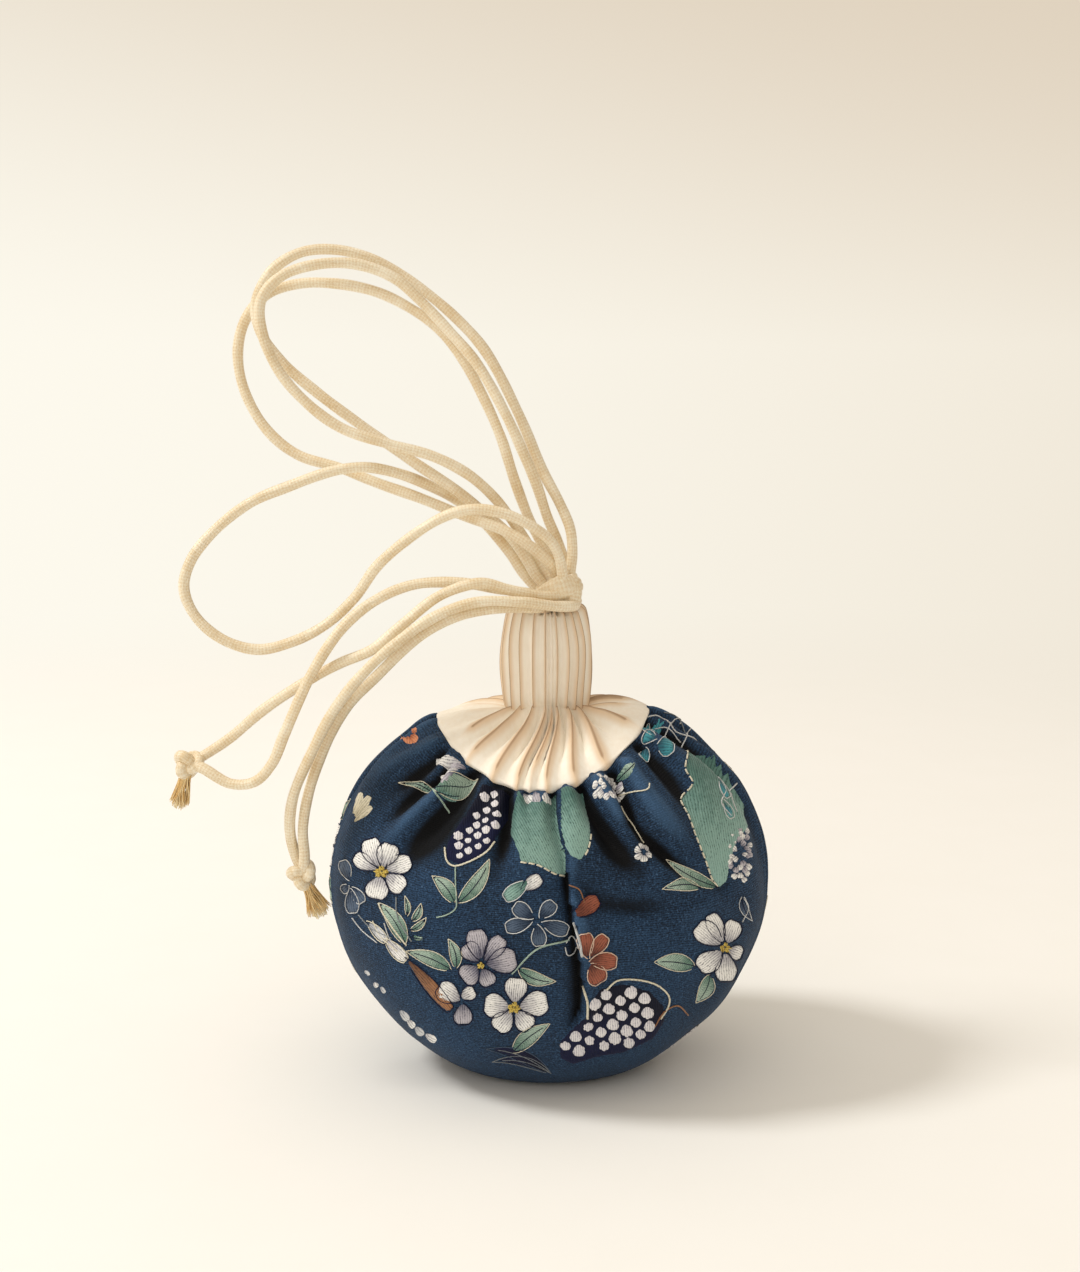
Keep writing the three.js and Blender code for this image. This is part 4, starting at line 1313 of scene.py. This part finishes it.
def makeCollar():
    grooves = allGrooves()
    whole = len(grooves) - 1
    count = whole * collar["samples"]
    phase = np.arange(count) / collar["samples"]
    between = [np.interp(phase, np.arange(len(grooves)), column) for column in grooves.T]
    atNeck, atSeam, neckShare, skirtShare, seamShare = between
    rows = len(collarOutline(0))
    row = np.arange(rows) - collar["hemRows"]
    up = np.clip(row / collar["skirtRows"], 0, 1)[:, None]
    over = smooth(row, collar["skirtRows"] * 0.7, collar["skirtRows"] + collar["neckRows"] * 0.3)[:, None]
    turned = smooth(up, 0.05, 0.95)
    lean = collar["lean"] * np.sin(2 * math.pi * phase) * np.sin(math.pi * up)
    angles = np.radians(atSeam * (1 - turned) + atNeck * turned + lean)
    grid = rings(collarOutline(0), collarOutline(1), angles)
    tiltSeam(grid, 1 - smooth(up, 0, 0.9))

    # Each pleat is a rounded rib between two sharp grooves
    rib = np.sin(math.pi * (phase % 1)) ** (1.2 - 0.25 * over)
    reach = smooth(up, 0.0, 0.55)
    skirtDepth = collar["skirtDepth"] * (0.42 + 0.58 * reach) * (seamShare + (skirtShare - seamShare) * reach)
    depth = skirtDepth * (1 - over) + collar["neckDepth"] * neckShare * over
    rise = depth * (rib - 0.7)
    rise[row < 0] *= np.linspace(0, 0.9, collar["hemRows"])[:, None]
    rise *= 1 - 0.5 * smooth(row, collar["skirtRows"] + collar["neckRows"], rows - 3)[:, None]
    rise += lumps(grid, 3, *collar["lumps"]) * (row > 0)[:, None]
    moved = grid + ringNormals(grid) * rise[..., None]
    # Painted shade: a mask for darkening the pleats' grooves, stronger where the pleats are deeper
    paintedFoldShade = (1 - rib) * np.clip(depth / 1.3, 0, 1)
    lay = layer(phase * collar["pleatWidth"], runAlong(grid[:, 0])[:, None], paintedFoldShade)
    return addPiece("collar_cloth", moved.reshape(-1, 3), closedFaces(rows, count), cottonFinish(),
                    {"lay": lay.reshape(-1, 3)})


cottonCloth = {
    "threadPitch": 0.3,
    "dull": "#f7efe1",
    "bright": "#fdf8ee",
    # painted shade in the pleats' grooves: golden, and dark brown in the deepest
    "groove": "#dbb27c",
    "paintedDeepGrooveShade": "#8f6540",
}


def cottonFinish():
    cotton = Finish("collar_cotton", Sheen_Weight=0.12, Sheen_Roughness=0.5, Specular_IOR_Level=0.3)
    across, up, groove = cotton.split(cotton.attribute("lay"))
    place = cotton.place()
    warp = (across * (2 * math.pi / cottonCloth["threadPitch"])).sine()
    weft = (up * (2 * math.pi / cottonCloth["threadPitch"])).sine()
    slub = cotton.noise(cotton.stretch(place, 1, 1, 0.25), 900, 3)
    cloud = cotton.noise(place, 90, 3)
    tone = (slub * 0.6 + cloud * 0.5).between(0.3, 0.8)
    colour = cotton.mix(tone, cottonCloth["dull"], cottonCloth["bright"])
    # Painted shade: golden in the pleats' grooves, dark brown in the deepest of them
    colour = cotton.mix(groove.between(0.3, 0.95) * 0.6, colour, cottonCloth["groove"])
    colour = cotton.mix(groove.between(0.86, 1.0) * 0.65, colour, cottonCloth["paintedDeepGrooveShade"])
    weave = warp * 0.2 + weft * 0.2 + slub * 0.8
    return cotton.wear(colour, cloud * 0.08 + 0.78, cotton.bump(weave, 0.05, 0.5))


collarCloth = makeCollar()
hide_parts("neck_collar")

# The bow knot: a filled core with the cord wound over it in bands, two cords side by side
knot = {"centre": (3.1, 0, 112.0), "core": (4.2, 3.6, 3.8), "coreRows": 24, "around": 40}
knotBands = [
    # points, half widths along the band, half thickness
    ([(-1.8, -3.2, 112.3), (-0.4, -4.9, 113.0), (2.2, -6.0, 113.8), (5.0, -4.9, 114.3),
      (6.9, -2.2, 114.2), (6.8, 1.6, 113.6)], (0.8, 1.9, 2.7, 2.4, 2.0, 1.6), 1.3),
    ([(4.9, -2.4, 116.0), (6.2, -3.8, 114.9), (6.4, -4.5, 112.6), (6.0, -4.8, 110.5),
      (4.6, -4.6, 109.4), (2.6, -3.6, 109.0)], (0.9, 1.4, 1.75, 1.7, 1.4, 0.9), 1.1),
    ([(-0.9, -1.6, 111.2), (-1.2, 1.6, 112.4), (0.9, 4.0, 113.4), (4.2, 4.5, 112.8),
      (6.8, 2.6, 111.6), (7.2, -0.6, 111.2)], (1.5, 2.2, 2.6, 2.6, 2.2, 1.5), 1.1),
    ([(0.2, 3.0, 109.4), (3.0, 4.2, 109.8), (5.8, 3.2, 109.6), (7.0, 0.2, 109.8), (6.2, -2.9, 109.7)],
     (1.2, 1.4, 1.4, 1.4, 1.2), 1.1),
    ([(0.4, 1.2, 115.4), (3.0, 3.0, 116.0), (5.6, 1.6, 116.0), (6.0, -1.4, 115.8)],
     (1.2, 1.5, 1.5, 1.1), 1.0),
    ([(0.8, -4.0, 110.9), (2.8, -4.8, 111.0), (4.8, -4.8, 111.2), (6.6, -3.8, 111.3)],
     (0.9, 1.3, 1.3, 1.0), 1.0),
]


# Two cords side by side as one flat band with a groove along its middle, closed at both ends
def bandShape(points, widths, thickness):
    line = smoothLine(points, 0.3)
    share = np.linspace(0, 1, len(line))
    half = np.interp(share, np.linspace(0, 1, len(widths)), widths)
    run = runAlong(line)
    opening, closing = [np.sin(math.pi * np.clip(part * 8, 0, 0.5)) for part in (share, 1 - share)]
    close = opening * closing

    def section(along, angles):
        wide = np.interp(along, run, half) * (0.35 + 0.65 * np.interp(along, run, close))
        cos, sin = np.cos(angles), np.sin(angles)
        lobes = 1 - 0.13 * np.exp(-(sin / 0.14) ** 2) * (cos > 0)
        weave = 0.045 * np.sin(sin * wide * 5 + along * 4.2) * np.sin(sin * wide * 5 - along * 4.2)
        return wide, (thickness * np.interp(along, run, close) + 0.02) * lobes + weave
    return tube(line, section, knot["around"], start=line[0] - knot["centre"])


def coreShape():
    rows, around = knot["coreRows"], knot["around"]
    turn = np.arange(around) / around * 2 * math.pi
    tilt = np.linspace(0.06, math.pi - 0.06, rows)
    a, b, c = knot["core"]
    grid = np.stack([np.outer(np.sin(tilt), np.cos(turn)) * a, np.outer(np.sin(tilt), np.sin(turn)) * b,
                     np.outer(np.cos(tilt), np.ones(around)) * c], 2)
    grid *= (1 + 0.02 * np.sin(6 * turn + 5 * tilt[:, None]))[..., None]
    lay = layer(np.cos(turn), tilt[:, None] * 5, np.sin(turn))
    grid += knot["centre"]
    return grid.reshape(-1, 3), closedFaces(rows, around, flip=True), lay.reshape(-1, 3)


points, faces, lay = gather([coreShape(), *[bandShape(*band) for band in knotBands]])
bowKnot = addPiece("bow_knot_wraps", points, faces, satinMaterial, {"lay": lay})
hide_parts("bow_knot")

# End knots and the frayed ends below them
endKnot = {"scale": 0.83, "tubeRadius": 1.28, "steps": 150, "sides": 22}
tassel = {
    "strands": 130,
    "below": 2.4,                # its top, under the knot's middle
    "length": 8.2,
    "neck": 1.35,
    "thick": 0.14,
    "steps": 9,
    "deep": "#dbb16a",
    "pale": "#f8e3b2",
    "end": "#fdf3d4",
}


# The middle of an end knot, and the way it hangs as a rotation
def endPlace(side):
    turned = Vector((0, 0, -1)).rotation_difference(Vector(endKnots[side]["down"]))
    return np.array(endKnots[side]["centre"], float), np.array(turned.to_matrix())


# An overhand knot as a trefoil
def makeEndKnot(side):
    centre, turned = endPlace(side)
    t = np.linspace(0, 2 * math.pi, endKnot["steps"])
    loops = np.stack([np.sin(t) + 2 * np.sin(2 * t), -1.5 * np.sin(3 * t), np.cos(t) - 2 * np.cos(2 * t)], 1)
    line = centre + (loops * endKnot["scale"]) @ turned.T

    def section(along, angles):
        turn = angles * cord["braidStrands"]
        weave = np.sin(turn + along * 4) * np.sin(turn - along * 4)
        return endKnot["tubeRadius"] + cord["braidHeight"] * weave
    points, faces, lay = tube(line, section, endKnot["sides"])
    piece = addPiece("knot_" + side, points, faces, satinMaterial, {"lay": lay})
    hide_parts("end_knot_" + side)
    return piece


def frayFinish():
    fray = Finish("frayed_cord", Sheen_Weight=0.3, Sheen_Roughness=0.4, Specular_IOR_Level=0.4)
    place = fray.place()
    _, along, strand = fray.split(fray.attribute("lay"))
    tone = (strand * 0.8 + fray.noise(place, 700, 2) * 0.5 - 0.1).between(0.1, 1)
    colour = fray.mix(tone, tassel["deep"], tassel["pale"])
    colour = fray.mix(along.between(5, 8.5) * 0.5, colour, tassel["end"])
    return fray.wear(colour, tone * 0.15 + 0.5, fray.bump(fray.noise(place, 5000, 2), 0.03, 0.6))


frayMaterial = frayFinish()


def makeTassel(side, seed):
    dice = random.Random(seed)
    centre, turned = endPlace(side)
    shapes = []
    for _ in range(tassel["strands"]):
        angle = dice.uniform(0, 2 * math.pi)
        spread = math.sqrt(dice.random())
        length = tassel["length"] * dice.uniform(0.86, 1.03) * (1.04 - 0.2 * spread ** 2)
        wave = dice.uniform(-0.35, 0.35)
        mouth = endKnots[side]["mouth"] * spread * dice.uniform(0.85, 1.08)
        line = []
        for t in np.linspace(0, 1, tassel["steps"]):
            radius = tassel["neck"] * spread * (1 - t) + mouth * t ** 1.3
            swing = angle + wave * t + 0.2 * math.sin(5 * t + angle * 3)
            line.append((radius * math.cos(swing), radius * math.sin(swing), -tassel["below"] - length * t))
        thin = tassel["thick"] * dice.uniform(0.7, 1.2)
        strand = centre + np.array(line) @ turned.T
        points, faces, lay = tube(strand, lambda along, angles: thin * (1 - along / 20), 5)
        lay[:, 2] = dice.random()
        shapes.append((points, faces, lay))
    points, faces, lay = gather(shapes)
    piece = addPiece("fray_" + side, points, faces, frayMaterial, {"lay": lay})
    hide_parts("tassel_" + side)
    return piece


knotPieces = {side: makeEndKnot(side) for side in endKnots}
tasselPieces = {side: makeTassel(side, seed) for seed, side in enumerate(endKnots, 21)}
for name, (piece, path, length) in cords.items():
    side = cordEnds[name]["knot"]
    carried = [bowKnot] if name == "outer" else []
    if name in ("outer", "low"):
        carried += [knotPieces[side], tasselPieces[side]]
    print("cord", name, round(length, 4), "m")


# Floor and light
room = {
    "floor": "#f9f9f8",
    "floorShade": "#f5f5f2",
    "far": "#fefaee",
    "farRight": "#dfd1bd",
    "skyLow": (0.33, 0.29, 0.235, 1),
    "skyHigh": (0.82, 0.735, 0.62, 1),
    "floorHalf": 6.0,
    "floorDrop": 0.0001,
    "aim": (0, 0, 0.05),         # where both lamps point
}
lamps = {
    # place in metres, power, size, colour
    "key": ((-1.02, -0.07, 1.27), 12.2, 0.34, (1.0, 0.985, 0.945)),
    "fill": ((-0.65, -1.35, 0.8), 2.2, 1.1, (1.0, 0.99, 0.97)),
}


def makeFloor():
    half = room["floorHalf"]
    mesh = bpy.data.meshes.new("floor")
    corners = [(-half, -half, 0), (half, -half, 0), (half, half, 0), (-half, half, 0)]
    mesh.from_pydata(corners, [], [(0, 1, 2, 3)])
    floor = addObject("floor", mesh)
    floor.location.z = -room["floorDrop"]
    paper = Finish("floor_paper", Roughness=0.9, Specular_IOR_Level=0.1)
    place = paper.place()
    x = paper.split(place)[0]
    grain = paper.noise(place, 40, 2)
    paper.wear(paper.mix(grain * 0.5, room["floor"], room["floorShade"]))
    away = paper.node("ShaderNodeVectorMath", {"operation": "LENGTH"}, {0: place}, out="Value")
    # The far floor as the camera sees it, with the painted fall-off of the light
    shown = farColour(paper, x / (away + 0.35) * 0.6)
    glow = paper.node("ShaderNodeEmission", values={"Color": shown, "Strength": 1.0})
    seen = paper.node("ShaderNodeLightPath", out="Is Camera Ray")
    mixer = paper.node("ShaderNodeMixShader", values={0: away.between(0.3, 0.75) * seen, 2: glow})
    paper.tree.links.new(paper.shader.outputs[0], mixer.socket.node.inputs[1])
    paper.tree.links.new(mixer.socket, paper.tree.nodes["Material Output"].inputs[0])
    mesh.materials.append(paper.material)


# The far floor and the wall as the camera sees them, painted darker to the right and upwards as the light
# falls off
def farColour(nodes, across):
    return nodes.mix(across.between(-0.25, 0.7), room["far"], room["farRight"])


def makeWorld():
    world = bpy.data.worlds.new("studio")
    bpy.context.scene.world = world
    world.use_nodes = True
    air = Nodes(world.node_tree)
    air.tree.nodes.clear()
    direction = air.node("ShaderNodeTexCoord", out="Generated")
    across, _, up = air.split(direction)
    # The backdrop the camera sees, with the painted fall-off of the light
    shown = farColour(air, across * 0.6 + up.math("MAXIMUM", 0) * 2.4)
    sky = air.mix(up.between(-0.1, 0.9), room["skyLow"], room["skyHigh"])
    lit = air.node("ShaderNodeBackground", values={"Color": sky, "Strength": 1.0})
    seen = air.node("ShaderNodeBackground", values={"Color": shown, "Strength": 1.0})
    path = air.node("ShaderNodeLightPath", out="Is Camera Ray")
    mixer = air.node("ShaderNodeMixShader", values={0: path, 1: lit, 2: seen})
    output = air.tree.nodes.new("ShaderNodeOutputWorld")
    air.tree.links.new(mixer.socket, output.inputs[0])


def makeLamps():
    for name, (place, power, size, colour) in lamps.items():
        data = bpy.data.lights.new(name, "AREA")
        data.shape = "DISK"
        data.size = size
        data.energy = power
        data.color = colour
        lamp = addObject(name, data)
        lamp.location = place
        lamp.rotation_euler = (Vector(room["aim"]) - lamp.location).to_track_quat("-Z", "Y").to_euler()


makeFloor()
makeWorld()
makeLamps()
print("floor, world and lamps made")
bpy.context.scene.view_settings.view_transform = "Standard"
